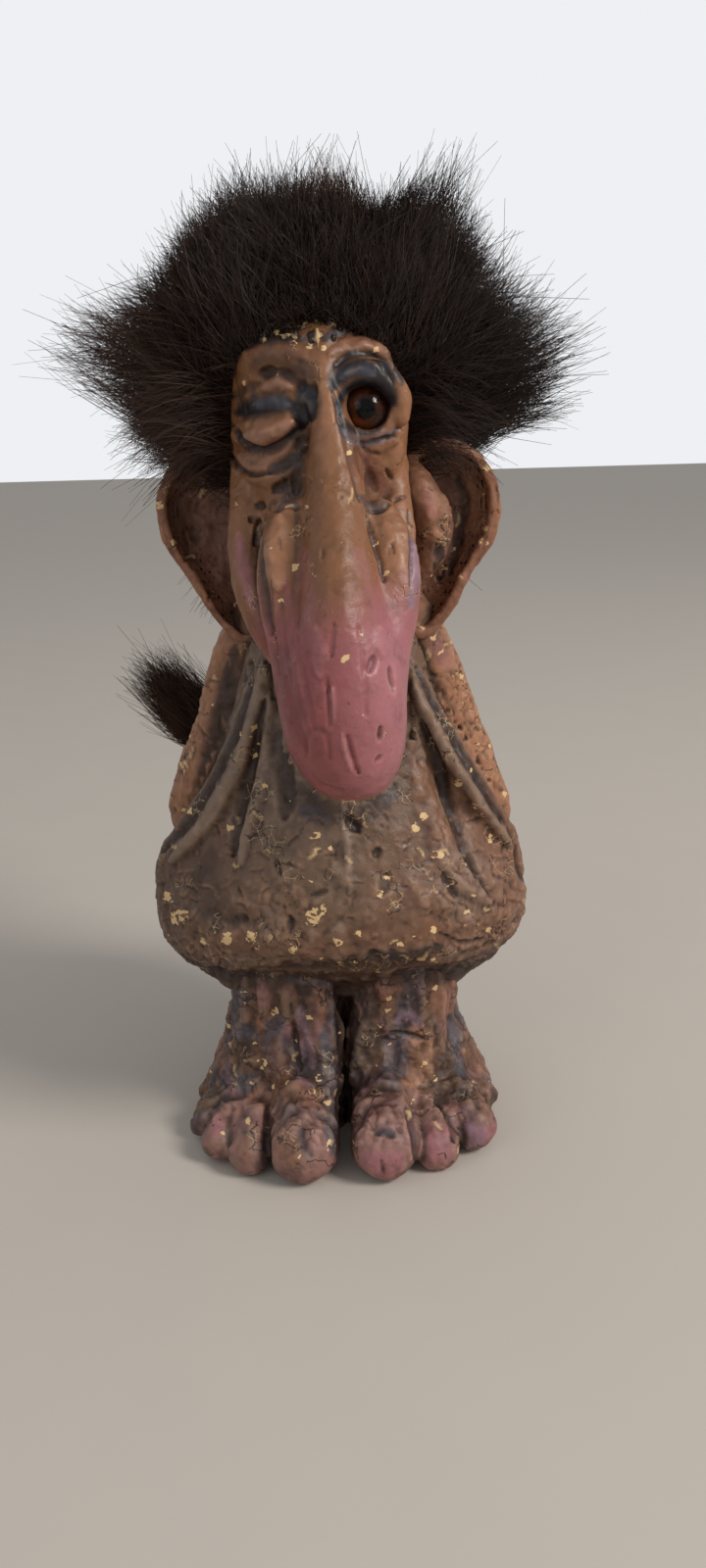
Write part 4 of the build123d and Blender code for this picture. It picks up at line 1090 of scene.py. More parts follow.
def groundCoatsAndPaintedLight(name, skin):
    # The first coats, before any stroke, with painted light on the sides toward the lamp and painted
    # shade on the far sides, under the belly and under the fur
    x, y, z = skin["points"].T
    if name == "bodySkin":
        skin["paint"][:] = paints["bellyBrown"]
        shade(skin, "olive", 0.5 * smoothStep(75, 105, z))
        shade(skin, "ash", 0.35 * patches(skin, -0.1, 0.7, 11, 61, 3))
        # Painted light on the right side, painted shade on the left side and low down under the belly
        shade(skin, "clay", 0.55 * smoothStep(5, 45, x))
        shade(skin, "umber", 0.4 * smoothStep(-15, -48, x))
        shade(skin, "umber", 0.8 * smoothStep(56, 42, z))
    elif name == "legSkin":
        skin["paint"][:] = paints["bellyBrown"]
        shade(skin, "clay", 0.7 * patches(skin, -0.4, 0.4, 7, 25, 3, 0.5))
        shade(skin, "slate", 0.75 * patches(skin, 0.0, 0.6, 6, 21, 2, 0.5))
        shade(skin, "pink", 0.3 * patches(skin, 0.1, 0.8, 5, 22, 2, 0.5))
        shade(skin, "umber", 0.75 * patches(skin, -0.1, 0.6, 4.5, 27, 3, 0.5))
        # Painted shade at the tops of the legs, under the belly
        shade(skin, "umber", 0.6 * smoothStep(40, 56, z))
        toes = smoothStep(-19, -27, y) * smoothStep(19, 13, z + 0.25 * (np.abs(x) - 12))
        shade(skin, "toePink", 0.85 * toes)
        shade(skin, "umber", 0.5 * toes * patches(skin, 0.0, 0.7, 4, 28, 3))
        shade(skin, "ash", 0.4 * toes * patches(skin, 0.1, 0.8, 5, 31, 2))
        # Pink with a painted highlight on the toes, stronger toward the lit right side
        shade(skin, "pink", 0.5 * toes * smoothStep(-20, 30, x) * patches(skin, -0.4, 0.4, 6, 29))
    elif name == "headSkin":
        skin["paint"][:] = paints["ochre"]
        # Painted light: the right side of the head lighter
        shade(skin, "tan", 0.5 * smoothStep(0, 18, x))
        blush = smoothStep(152, 134, z + 2.5 * noise(skin["points"], 8, 37)) * smoothStep(-27, -33, y)
        shade(skin, "rose", 0.95 * blush)
        shade(skin, "pink", 0.75 * blush * smoothStep(-4, 12, x))
        # Painted shade toward the back of the head and on the neck, under the fur
        shade(skin, "umber", 0.5 * smoothStep(-10, 4, y))
        shade(skin, "umber", 0.8 * smoothStep(152, 144, z) * smoothStep(-8, 4, y))
    elif kindOf(name) == "EarSkin":
        side, wide = (-1, 1.5) if name.startswith("left") else (1, 3.2)
        edge = polygonField(x * side, z, earOutline)
        behindRim = y - earRim(x * side, z)
        back = skin["normals"][:, 1] >= 0.2
        rim = smoothStep(-3.2 * wide, -1.2 * wide, edge) * smoothStep(3.5 * wide, wide, behindRim)
        skin["paint"][:] = paints["earDark"]
        shade(skin, "clay", 0.5 * patches(skin, -0.4, 0.6, 7, 30, 3))
        shade(skin, "earRim", 0.75 * back * patches(skin, -0.4, 0.5, 6, 31))
        shade(skin, "tan", 0.5 * back * patches(skin, 0.1, 0.7, 4, 33))
        # The lighter rim band: the rim's colour with a painted highlight, made wider on the right ear,
        # which faces the light
        shade(skin, "earRim", 0.9 * rim)
        shade(skin, "tan", 0.6 * rim * patches(skin, -0.3, 0.4, 5, 32))
    else:
        skin["paint"][:] = paints["tan"]
        # Painted shade: the left arm darker, on the side away from the light
        shade(skin, "ochre", 0.6 * (x < 0))
        shade(skin, "umber", 0.5 * patches(skin, -0.1, 0.6, 9, 35))


def calmness(name, points):
    # How much of the roughness each point gets: less on the toes, the nose and round the cup
    y, z = points[:, 1], points[:, 2]
    if name == "legSkin":
        return 1 - 0.6 * smoothStep(-22, -30, y) * smoothStep(16, 10, z)
    if name == "bodySkin":
        calm = 0.7 + 0.7 * smoothStep(85, 55, z)
        return calm * smoothStep(5, 10, distanceTo(points, bodyForm["cup"][0]))
    if name == "headSkin":
        return 1 - 0.55 * smoothStep(150, 138, z)
    return np.ones(len(points))


def roughHeight(name, points):
    broad, small, furrow, cracked, plate, facet = roughness[kindOf(name)]
    calm = calmness(name, points)
    gaps, level = plateGaps(points, plate, 51)
    seams = smoothStep(0.16, 0.02, gaps) * smoothStep(-0.35, 0.25, noise(points, 14, 53)) * calm
    upright = points * np.array([1.0, 1.0, 0.28])
    height = broad * roughNoise(points, 9, 3, 2) + small * roughNoise(points, 2.6, 7, 2)
    plates = facet * (level - 0.5) * smoothStep(0.02, 0.2, gaps)
    height += furrow * roughNoise(upright, 3.4, 57, 2) + plates
    return height * calm - cracked * seams


def smoothed(values, quads, turns):
    for turn in range(turns):
        values = spread(values, quads, len(values))
    return values


def washDryBrushAndPaintedLight(name, skin, height):
    # A wash and painted shade stay in the hollows, painted shade falls where the skins round about
    # close a point in, and a dry brush with painted highlights lights what stands out
    shut = 0.5 * closeness(skin, 2.5) + 0.5 * closeness(skin, 7.0)
    near = smoothed(height, skin["quads"], 4)
    fine, relief = height - near, height - smoothed(near, skin["quads"], 20)
    washAndShade = 0.75 if name == "legSkin" else 1.0
    if name == "headSkin":
        washAndShade = 0.7 - 0.5 * smoothStep(148, 138, skin["points"][:, 2])
    occlusionShade, shutShare = (0.55, 0.5) if kindOf(name) == "EarSkin" else (0.75, 1.0)
    # Painted shade where the skins round about close a point in
    shade(skin, "umber", occlusionShade * smoothStep(0.25, 0.75, shut * shutShare))
    hollow = 0.55 * smoothStep(-0.06, -0.5, relief) + 0.3 * smoothStep(-0.03, -0.2, fine)
    # Umber in the hollows: the wash together with painted shade
    shade(skin, "umber", washAndShade * hollow)
    # Dry brush with painted highlights on what stands out, in ash and in the brightening below
    shade(skin, "ash", 0.22 * smoothStep(0.04, 0.35, relief))
    lit = 1 + 0.25 * smoothStep(0.04, 0.4, relief) + 0.15 * smoothStep(0.02, 0.12, fine)
    skin["paint"] *= lit[:, None]


def workSkin(name, skin):
    points = skin["points"]
    skin["paint"], skin["worn"] = np.zeros((len(points), 3)), np.zeros(len(points))
    height = roughHeight(name, points)
    groundCoatsAndPaintedLight(name, skin)
    uneven = 1 + 0.5 * roughNoise(points, 3.2, 66, 2)
    for colour, strength, width, depth, line in strokesOf[kindOf(name)].values():
        mask = brushMask(skin, line, width)
        shade(skin, colour, strength * jagged(skin, mask))
        height += depth * mask * uneven
    gouge(name, skin, height)
    for across, down, width in wornSpots[name]:
        skin["worn"] = np.maximum(skin["worn"], brushMask(skin, [(across, down)], width, 0.6))
    washDryBrushAndPaintedLight(name, skin, height)
    skin["points"] = points + skin["normals"] * height[:, None]
    skin["points"][:, 2] = np.maximum(skin["points"][:, 2], 0.1)


for name, skin in skins.items():
    workSkin(name, skin)
report("Paint")

# Node helpers and the node groups that several finishes share


def newGroup(name, colours, numbers, outputs):
    group = bpy.data.node_groups.new(name, "ShaderNodeTree")
    for kind, inputs in (("NodeSocketColor", colours), ("NodeSocketFloat", numbers)):
        for label, value in inputs.items():
            group.interface.new_socket(label, in_out="INPUT", socket_type=kind).default_value = value
    for label, kind in outputs.items():
        group.interface.new_socket(label, in_out="OUTPUT", socket_type=kind)
    return group, group.nodes.new("NodeGroupInput").outputs, group.nodes.new("NodeGroupOutput")


def setInputs(tree, node, values):
    # A socket is linked, and anything else becomes the input's own value
    for key, value in values.items():
        if isinstance(value, bpy.types.NodeSocket):
            tree.links.new(value, node.inputs[key])
        else:
            node.inputs[key].default_value = value
    return node


def addNode(tree, kind, values=None, **settings):
    node = tree.nodes.new(kind)
    for key, value in settings.items():
        setattr(node, key, value)
    return setInputs(tree, node, values or {})


def groupNode(tree, group, values):
    return addNode(tree, "ShaderNodeGroup", values, node_tree=group)


def objectPlace(tree):
    return addNode(tree, "ShaderNodeTexCoord").outputs["Object"]


def noiseTexture(tree, place, scale, detail=2.0, rough=0.5, output="Fac"):
    values = {"Vector": place, "Scale": scale, "Detail": detail, "Roughness": rough}
    return addNode(tree, "ShaderNodeTexNoise", values).outputs[output]


def cellTexture(tree, place, scale, feature):
    values = {"Vector": place, "Scale": scale}
    return addNode(tree, "ShaderNodeTexVoronoi", values, feature=feature).outputs["Distance"]


def vectorMath(tree, kind, first, second):
    return addNode(tree, "ShaderNodeVectorMath", {0: first, 1: second}, operation=kind)


def bumpNormal(tree, height, strength, distance):
    values = {"Height": height, "Strength": strength, "Distance": distance}
    return addNode(tree, "ShaderNodeBump", values).outputs["Normal"]


def mixColours(tree, share, first, second, kind="MIX"):
    # A Mix node's inputs for colours are its seventh and eighth, and their result is its third output
    node = addNode(tree, "ShaderNodeMix", data_type="RGBA", blend_type=kind, clamp_factor=True)
    return setInputs(tree, node, {0: share, 6: first, 7: second}).outputs[2]


def ramp(tree, value, low, high, outLow=0.0, outHigh=1.0):
    values = {"Value": value, "From Min": low, "From Max": high, "To Min": outLow, "To Max": outHigh}
    return addNode(tree, "ShaderNodeMapRange", values, interpolation_type="SMOOTHSTEP").outputs[0]


def sums(tree, kind, first, second):
    return addNode(tree, "ShaderNodeMath", {0: first, 1: second}, operation=kind).outputs[0]


def rgba(colour):
    return tuple(paints[colour] if isinstance(colour, str) else colour) + (1.0,)


black = (0.0, 0.0, 0.0, 1)


def makeMottle():
    # Uneven brushed colour: broad patches, small specks and dry crumbs
    group, taken, given = newGroup(
        "brushedMottle", {"Colour": (0.5, 0.5, 0.5, 1), "Speck Colour": (0.03, 0.02, 0.02, 1)},
        {"Patch Scale": 180.0, "Depth": 0.3},
        {"Colour": "NodeSocketColor", "Patch": "NodeSocketFloat", "Speck": "NodeSocketFloat"})
    place = objectPlace(group)
    patch = noiseTexture(group, place, taken["Patch Scale"], 5.0, 0.65)
    dark = sums(group, "MULTIPLY", ramp(group, patch, 0.5, 0.25), taken["Depth"])
    light = sums(group, "MULTIPLY", ramp(group, patch, 0.52, 0.8), taken["Depth"])
    colour = mixColours(group, dark, taken["Colour"], black)
    colour = mixColours(group, light, colour, (1.0, 0.93, 0.85, 1), "SOFT_LIGHT")
    speck = ramp(group, noiseTexture(group, place, 900.0, 3.0), 0.68, 0.74)
    colour = mixColours(group, sums(group, "MULTIPLY", speck, 0.55), colour, taken["Speck Colour"])
    setInputs(group, given, {"Colour": colour, "Patch": patch, "Speck": speck})
    return group


def makeCracks():
    # Fine broken lines between dried cells of paint
    group, taken, given = newGroup("driedCracks", {}, {"Scale": 260.0, "Width": 0.04, "Cover": 0.5},
                                   {"Line": "NodeSocketFloat"})
    place = objectPlace(group)
    stir = noiseTexture(group, place, 320.0, 4.0, output="Color")
    moved = vectorMath(group, "MULTIPLY", stir, (0.003, 0.003, 0.003)).outputs[0]
    bent = vectorMath(group, "ADD", place, moved).outputs[0]
    cells = cellTexture(group, bent, taken["Scale"], "DISTANCE_TO_EDGE")
    line = sums(group, "LESS_THAN", cells, taken["Width"])
    shown = sums(group, "LESS_THAN", noiseTexture(group, place, 130.0, 3.0), taken["Cover"])
    setInputs(group, given, {"Line": sums(group, "MULTIPLY", line, shown)})
    return group


def makeGrain():
    # Leathery dents and pores as a height
    group, taken, given = newGroup("leatheryGrain", {}, {"Scale": 300.0}, {"Height": "NodeSocketFloat"})
    place = objectPlace(group)
    lumps = noiseTexture(group, place, taken["Scale"], 6.0, 0.62)
    dents = cellTexture(group, place, taken["Scale"], "SMOOTH_F1")
    setInputs(group, given, {"Height": sums(group, "ADD", lumps, sums(group, "MULTIPLY", dents, 0.5))})
    return group


def makeFlakes():
    # Small angular chips where the paint is gone, in the places that a worn mask gives
    group, taken, given = newGroup("lostChips", {}, {"Scale": 620.0, "Worn": 0.0, "Everywhere": 0.02},
                                   {"Chip": "NodeSocketFloat"})
    turned = {"Vector": objectPlace(group), "Rotation": (0.5, 0.9, 0.3), "Scale": (1.0, 0.5, 1.3)}
    values = {"Vector": addNode(group, "ShaderNodeMapping", turned).outputs[0], "Scale": taken["Scale"]}
    cells = addNode(group, "ShaderNodeTexVoronoi", values, distance="MANHATTAN").outputs["Color"]
    chance = addNode(group, "ShaderNodeSeparateColor", {"Color": cells}).outputs[0]
    wanted = sums(group, "ADD", sums(group, "MULTIPLY", taken["Worn"], 0.75), taken["Everywhere"])
    setInputs(group, given, {"Chip": sums(group, "LESS_THAN", chance, wanted)})
    return group


mottle, cracks, grain, chips = makeMottle(), makeCracks(), makeGrain(), makeFlakes()


def newFinish(name, values):
    finish = bpy.data.materials.new(name)
    finish.use_nodes = True
    tree = finish.node_tree
    return finish, tree, setInputs(tree, tree.nodes["Principled BSDF"], values)


def paintedRubber(name, settings):
    # Brushed paint, with the painted shade and highlights that the skins carry, dark and cream cracks,
    # chips down to the cream filler, and a leathery bump
    finish, tree, shader = newFinish(name, {"Specular IOR Level": 0.4})
    base = addNode(tree, "ShaderNodeAttribute", attribute_name="paint").outputs["Color"]
    worn = addNode(tree, "ShaderNodeAttribute", attribute_name="worn").outputs["Fac"]
    scale, width, rough = settings["crackScale"], settings["crackWidth"], settings["rough"]
    brushed = groupNode(tree, mottle, {"Colour": base, "Patch Scale": settings["patch"],
                                       "Depth": settings["depth"]}).outputs
    line = groupNode(tree, cracks, {"Scale": scale, "Width": width,
                                    "Cover": settings["crackCover"]}).outputs["Line"]
    hair = groupNode(tree, cracks, {"Scale": scale * 1.9, "Width": width * 0.8,
                                    "Cover": settings["creamCover"]}).outputs["Line"]
    chip = groupNode(tree, chips, {"Scale": settings["chipScale"], "Worn": worn,
                                   "Everywhere": settings["chips"]}).outputs["Chip"]
    colour = mixColours(tree, sums(tree, "MULTIPLY", line, 0.8), brushed["Colour"], rgba("umber"))
    colour = mixColours(tree, sums(tree, "MULTIPLY", hair, 0.5), colour, rgba("cream"))
    height = groupNode(tree, grain, {"Scale": settings["grain"]}).outputs["Height"]
    height = sums(tree, "SUBTRACT", height, sums(tree, "MULTIPLY", line, 0.6))
    height = sums(tree, "SUBTRACT", height, sums(tree, "MULTIPLY", chip, 0.8))
    setInputs(tree, shader, {
        "Base Color": mixColours(tree, chip, colour, rgba("cream")),
        "Roughness": ramp(tree, brushed["Patch"], 0.3, 0.75, rough + 0.1, rough - 0.08),
        "Normal": bumpNormal(tree, height, settings["bump"], 0.0006),
    })
    return finish


rubberFinishes = {
    "body": {
        "patch": 150.0,
        "depth": 0.4,
        "crackScale": 190.0,
        "crackWidth": 0.03,
        "crackCover": 0.42,
        "creamCover": 0.4,
        "chipScale": 800.0,
        "chips": 0.004,
        "rough": 0.47,
        "grain": 420.0,
        "bump": 0.55,
    },
    "head": {
        "patch": 220.0,
        "depth": 0.3,
        "crackScale": 240.0,
        "crackWidth": 0.022,
        "crackCover": 0.36,
        "creamCover": 0.37,
        "chipScale": 900.0,
        "chips": 0.002,
        "rough": 0.38,
        "grain": 520.0,
        "bump": 0.4,
    },
    "legs": {
        "patch": 170.0,
        "depth": 0.5,
        "crackScale": 200.0,
        "crackWidth": 0.035,
        "crackCover": 0.45,
        "creamCover": 0.37,
        "chipScale": 820.0,
        "chips": 0.006,
        "rough": 0.5,
        "grain": 400.0,
        "bump": 0.7,
    },
    "ears": {
        "patch": 240.0,
        "depth": 0.45,
        "crackScale": 220.0,
        "crackWidth": 0.03,
        "crackCover": 0.4,
        "creamCover": 0.37,
        "chipScale": 820.0,
        "chips": 0.004,
        "rough": 0.5,
        "grain": 460.0,
        "bump": 0.5,
    },
}
rubbers = {part: paintedRubber("paintedRubber" + part.capitalize(), values)
           for part, values in rubberFinishes.items()}
rubberOf = {
    "bodySkin": "body",
    "legSkin": "legs",
    "headSkin": "head",
    "EarSkin": "ears",
    "ArmSkin": "body",
}
replaced = {
    "bodySkin": "body_casting",
    "legSkin": "legs_casting",
    "headSkin": "head_casting",
    "leftEarSkin": "left_ear",
    "rightEarSkin": "right_ear",
    "leftArmSkin": "left_arm",
    "rightArmSkin": "right_arm",
}
for name, skin in skins.items():
    piece = makeMesh(name, skin["points"], skin["quads"])
    addColours(piece, "paint", skin["paint"])
    addValues(piece, "worn", skin["worn"])
    piece.data.materials.append(rubbers[rubberOf[kindOf(name)]])
    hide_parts(replaced[name])
    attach(piece, "figure")
report("Skins")


# Fur: a dark mat under many fine strands that end on the outline of the hair
fur = {
    "crown": [
        (150, -1.6, 5.6, 15, 2, 23), (157, -1.6, 5.6, 26.5, 5, 33), (166, -1.6, 5.6, 35, 9, 38),
        (178, -1.6, 5.6, 43, 15, 41), (190, -1.6, 5.6, 47.5, 22, 41),
        (202, -1.6, 5.6, 48.5, 27, 40.5), (213, -1.6, 5.6, 45, 28, 38),
        (223, -1.6, 5.6, 36, 24.5, 31), (230, -1.6, 5.6, 24.5, 17, 21.5),
        (234, -1.6, 5.6, 12, 9, 11),
    ],
    "locks": [
        [
            (-38, 5.6, 200.5, 18), (-49, 5.6, 199.7, 13.7), (-57.6, 5.6, 198.3, 8),
            (-65, 5.6, 196.8, 3.4),
        ],
        [(36, 5.6, 196.8, 16), (45, 5.6, 196, 13.3), (53, 5.6, 195.3, 6.5)],
        [(22, 5.6, 214, 14), (27, 5.6, 226, 9), (28.5, 5.6, 235, 4)],
        [(-2, 5.6, 214, 18), (3, 5.6, 226, 10), (5.5, 5.6, 233, 4)],
        [(-10, 4, 222, 8), (-2, 4, 232, 5), (6, 4, 240, 2)],
        [(44, 4, 186, 9), (54, 3, 181, 5)],
        [(34, 1, 184, 6), (44, -1, 179, 3)],
        [(-36, 2, 181, 9), (-46, 0, 173, 5), (-52, -1, 167, 2)],
    ],
    "aims": [
        (-66, 5, 197), (-52, 5, 212), (-34, 5, 228), (-12, 4, 236), (6, 4, 240), (27, 4, 242),
        (40, 4, 230), (52, 5, 212), (58, 5, 196), (56, 6, 180), (-50, 8, 176), (0, 48, 214),
        (0, 48, 186), (-34, 40, 200), (34, 40, 200), (0, 40, 164), (-26, -14, 222), (22, -16, 222),
        (0, -20, 224),
    ],
    "strands": 5200,
    "temple": {
        "strands": {-1: 1000, 1: 500},
        "outside": 15,
        "front": -11,
        "back": 8,
        "base": 172,
        "top": 190,
        "reach": (9, 24),
        "sag": 7,
    },
    "nape": {
        "strands": 3600,
        "front": 11,
        "base": 148,
        "top": 176,
        "reach": (11, 22),
        "drop": -0.7,
        "bow": 5,
    },
    "pieces": 8,
    "underPieces": 3,
    "underLength": 0.85,
    "matDepth": 15.5,
    "matBox": ((-66, -32, 146), (60, 48, 232)),
    "matStep": 1.0,
    "rings": 6,
    "sides": 3,
    "radius": 0.12,
    "pastBox": 8,
    "hairline": (199, 1.28, -21.5, 150),
}
lineTop, lineSlope, lineFront, lineBase = fur["hairline"]
strandShare = np.linspace(0, 1, fur["rings"])[None, :, None]


def furField(points):
    value = eggField(points, fur["crown"])
    for lock in fur["locks"]:
        value = softMin(value, tubeField(points, lock), 4)
    return value


def hairlineAt(y):
    # How high the hairline lies that far back
    return np.maximum(lineBase, lineTop - lineSlope * (y - lineFront))


def strandTubes(name, paths, radii, colours):
    # Each path is a thin tapering tube
    count, rings, sides = *paths.shape[:2], fur["sides"]
    along = unit(np.gradient(paths, axis=1), 1e-9)
    helper = np.where(np.abs(along[..., 2:3]) < 0.8, np.array([0, 0, 1.0]), np.array([1.0, 0, 0]))
    across = unit(np.cross(along, helper), 1e-9)
    other = np.cross(along, across)
    turns = [2 * math.pi * side / sides for side in range(sides)]
    ring = [paths + radii[..., None] * (across * math.cos(turn) + other * math.sin(turn))
            for turn in turns]
    points = np.stack(ring, axis=2).reshape(count, rings * sides, 3)
    faces = []
    for i in range(rings - 1):
        for side in range(sides):
            a, b = i * sides + side, i * sides + (side + 1) % sides
            faces.append((a, b, b + sides, a + sides))
    faces = np.array(faces)[None] + (np.arange(count) * rings * sides)[:, None, None]
    piece = makeMesh(name, points.reshape(-1, 3), faces.reshape(-1, 4))
    addColours(piece, "paint", np.repeat(colours, rings * sides, axis=0))
    return piece


def strandRadii(rng, count, most=1.3, thin=0.3, curve=1.0):
    taper = np.linspace(1, thin, fur["rings"])[None] ** curve
    return fur["radius"] * taper * rng.uniform(0.7, most, (count, 1))


def furPaths(roots, normals, seed):
    # Strands that bend from the skin toward the nearest aims and end near the outline of the fur
    rng = np.random.default_rng(seed)
    count, t = len(roots), strandShare
    tips = np.array(fur["aims"], float)
    gap = np.sqrt(((roots[:, None] - tips[None]) ** 2).sum(2)) + rng.normal(0, 7, (count, len(tips)))
    pull = unit(tips[np.argmin(gap, axis=1)] - roots)
    tufts = noiseVectors(roots, 7, 90) + 0.7 * noiseVectors(roots, 3.5, 95)
    unruly = np.where(rng.uniform(0, 1, count) < 0.3, 0.26, 0.09)[:, None]
    aim = 0.75 * normals + 0.55 * pull + 0.42 * tufts + unruly * rng.normal(0, 1, (count, 3))
    aim = unit(aim + np.array([0, 0, 0.1]))
    reach = np.full(count, 1.0)
    for turn in range(24):
        reach += np.clip(-furField(roots + aim * reach[:, None]), -2, 8) * 0.9
    length = (0.6 + 0.47 * rng.beta(2.2, 1.7, count)) * (1 + 0.1 * noise(roots, 6, 99))
    length *= np.where(rng.uniform(0, 1, count) < 0.04, 1.18, 1.0)
    tipX, tipZ = roots[:, 0] + aim[:, 0] * reach, roots[:, 2] + aim[:, 2] * reach
    # The dip between the two tufts on top, and the lower left shoulder of the outline
    length *= 1 - 0.2 * np.exp(-((tipX - 13) / 4.5) ** 2) * (tipZ > 215)
    length *= 1 - 0.2 * smoothStep(-16, -40, tipX) * smoothStep(204, 216, tipZ)
    reach = (np.clip(reach, 5, 70) * length)[:, None]
    start, bend, end = roots, roots + normals * reach * 0.45, roots + aim * reach
    paths = start[:, None] * (1 - t) ** 2 + 2 * bend[:, None] * t * (1 - t) + end[:, None] * t ** 2
    sway = rng.normal(0, 1, (count, 1, 3)) * t ** 2 * 1.8
    paths += sway + rng.normal(0, 0.25, (count, fur["rings"], 3)) * t
    low, high = [np.array(corner) / mm for corner in cadBox]
    return np.clip(paths, low - fur["pastBox"], high + fur["pastBox"])


headPoints, headNormals = skins["headSkin"]["points"], skins["headSkin"]["normals"]
hairRoots = np.flatnonzero(headPoints[:, 2] > hairlineAt(headPoints[:, 1]))
print("roots", len(hairRoots))


def furFinish(name, rough, shine):
    finish, tree, shader = newFinish(name, {"Specular IOR Level": shine})
    base = addNode(tree, "ShaderNodeAttribute", attribute_name="paint").outputs["Color"]
    streak = noiseTexture(tree, objectPlace(tree), 240.0)
    setInputs(tree, shader, {
        "Base Color": mixColours(tree, ramp(tree, streak, 0.4, 0.7, 0.0, 0.35), base, black),
        "Roughness": ramp(tree, streak, 0.3, 0.7, rough, rough + 0.2),
    })
    return finish


furBlack = furFinish("furStrands", 0.34, 0.35)
furDull = furFinish("furUnderlay", 0.75, 0.05)
hairTones = {"black": tone(20, 16, 18), "brown": tone(58, 42, 34), "red": tone(96, 62, 42)}


def furColours(paths, seed):
    # Black to brown, redder at the left and at the tip of the middle tuft
    rng = np.random.default_rng(seed)
    count, middle, tip = len(paths), paths.mean(1), paths[:, -1]
    red = smoothStep(-10, -55, middle[:, 0]) * 0.4 + 0.3 * rng.uniform(0, 1, count) ** 2
    red = red + 0.5 * np.exp(-((tip[:, 0] - 3) / 7) ** 2) * smoothStep(226, 236, tip[:, 2])
    brown = rng.uniform(0, 1, (count, 1)) ** 1.6
    colours = hairTones["black"] + (hairTones["brown"] - hairTones["black"]) * brown
    return colours + (hairTones["red"] - colours) * np.clip(red, 0, 1)[:, None]


def addFur(name, paths, radii, seed):
    piece = strandTubes(name, paths, radii, furColours(paths, seed))
    piece.data.materials.append(furBlack)
    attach(piece, "figure")


def growFur():
    for number in range(fur["pieces"]):
        rng = np.random.default_rng(100 + number)
        chosen = rng.choice(hairRoots, fur["strands"])
        roots = headPoints[chosen] + rng.normal(0, 0.3, (len(chosen), 3))
        paths = furPaths(roots, headNormals[chosen], 200 + number)
        radii = strandRadii(rng, len(chosen), 1.3, 0.25, 0.8)
        addFur("furStrands%d" % number, paths, radii, 300 + number)


def growUndercoat(mat):
    # Shorter strands that stand on the mat, most of them at the back and on top
    y, z = mat["points"][:, 1:].T
    weight = smoothStep(-14, 10, y) + 0.6 * smoothStep(205, 220, z) + 0.04
    for number in range(fur["underPieces"]):
        rng = np.random.default_rng(60 + number)
        chosen = rng.choice(len(weight), fur["strands"], p=weight / weight.sum())
        paths = furPaths(mat["points"][chosen], mat["normals"][chosen], 400 + number)
        paths = paths[:, :1] + (paths - paths[:, :1]) * fur["underLength"]
        addFur("furUnder%d" % number, paths, strandRadii(rng, len(chosen)), 420 + number)


def growNape():
    # Strands at the back that hang over the neck
    rng = np.random.default_rng(47)
    nape, (y, z) = fur["nape"], headPoints[:, 1:].T
    near = np.flatnonzero((y > nape["front"]) & (z > nape["base"]) & (z < nape["top"]))
    count, t = nape["strands"], strandShare
    chosen = rng.choice(near, count)
    roots, normals = headPoints[chosen], headNormals[chosen]
    aim = 0.7 * normals + np.array([0, 0, nape["drop"]]) + rng.normal(0, 0.12, (count, 3))
    aim += 0.3 * noiseVectors(roots, 4, 80)
    reach = rng.uniform(*nape["reach"], count)[:, None, None]
    paths = roots[:, None] + aim[:, None] * reach * t + normals[:, None] * nape["bow"] * t * (1 - t)
    paths += rng.normal(0, 0.2, (count, fur["rings"], 3)) * t
    addFur("furNape", paths, strandRadii(rng, count, 1.2), 48)


def growTemples():
    # Shorter strands that hang over the tops of the ears
    temple, (x, y, z), t = fur["temple"], headPoints.T, strandShare
    level = (y > temple["front"]) & (y < temple["back"]) & (z > temple["base"]) & (z < temple["top"])
    for side, name in ((-1, "templeLeft"), (1, "templeRight")):
        rng = np.random.default_rng(40 + side)
        near = np.flatnonzero((x * side > temple["outside"]) & level)
        count = temple["strands"][side]
        roots = headPoints[rng.choice(near, count)]
        drop = rng.uniform(-0.35, 0.4, count)
        aim = np.stack([np.full(count, side * 0.9), rng.uniform(-0.55, -0.05, count), drop], axis=1)
        aim += 0.25 * noiseVectors(roots, 4, 60) + rng.normal(0, 0.1, (count, 3))
        reach = rng.uniform(*temple["reach"], count)[:, None, None]
        sag = np.array([0, 0, -1.0]) * rng.uniform(0, temple["sag"], (count, 1, 1)) * t ** 2
        lift = np.array([side * 0.6, -1.6, 1.0]) * t * (1 - t) * 4
        paths = roots[:, None] + aim[:, None] * reach * t + sag + lift
        paths += rng.normal(0, 0.2, (count, fur["rings"], 3)) * t
        addFur(name, paths, strandRadii(rng, count, 1.2), 44 + side)


def matField(points):
    # The fur's outline drawn in, and a cap on the scalp, both behind the hairline
    grown = furField(points) + fur["matDepth"]
    grown = grown + 1.6 * noise(points, 7, 40) + 0.8 * noise(points, 2.4, 41)
    head = eggField(points, headForm["levels"])
    line = hairlineAt(points[:, 1]) - points[:, 2]
    cap = softMax(head - 1.0, line + 1, 1.0)
    return softMin(softMax(grown, line - 2, 1.0), cap, 2.5)


growFur()
growTemples()
mat = skinOver(matField, *fur["matBox"], fur["matStep"])
growUndercoat(mat)
growNape()
matPiece = makeMesh("furMat", mat["points"], mat["quads"])
addColours(matPiece, "paint", np.tile(hairTones["black"], (len(mat["points"]), 1)))
matPiece.data.materials.append(furDull)
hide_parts("fur_crown", "fur_left", "fur_right", "wig_hide")
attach(matPiece, "figure")
report("Fur")


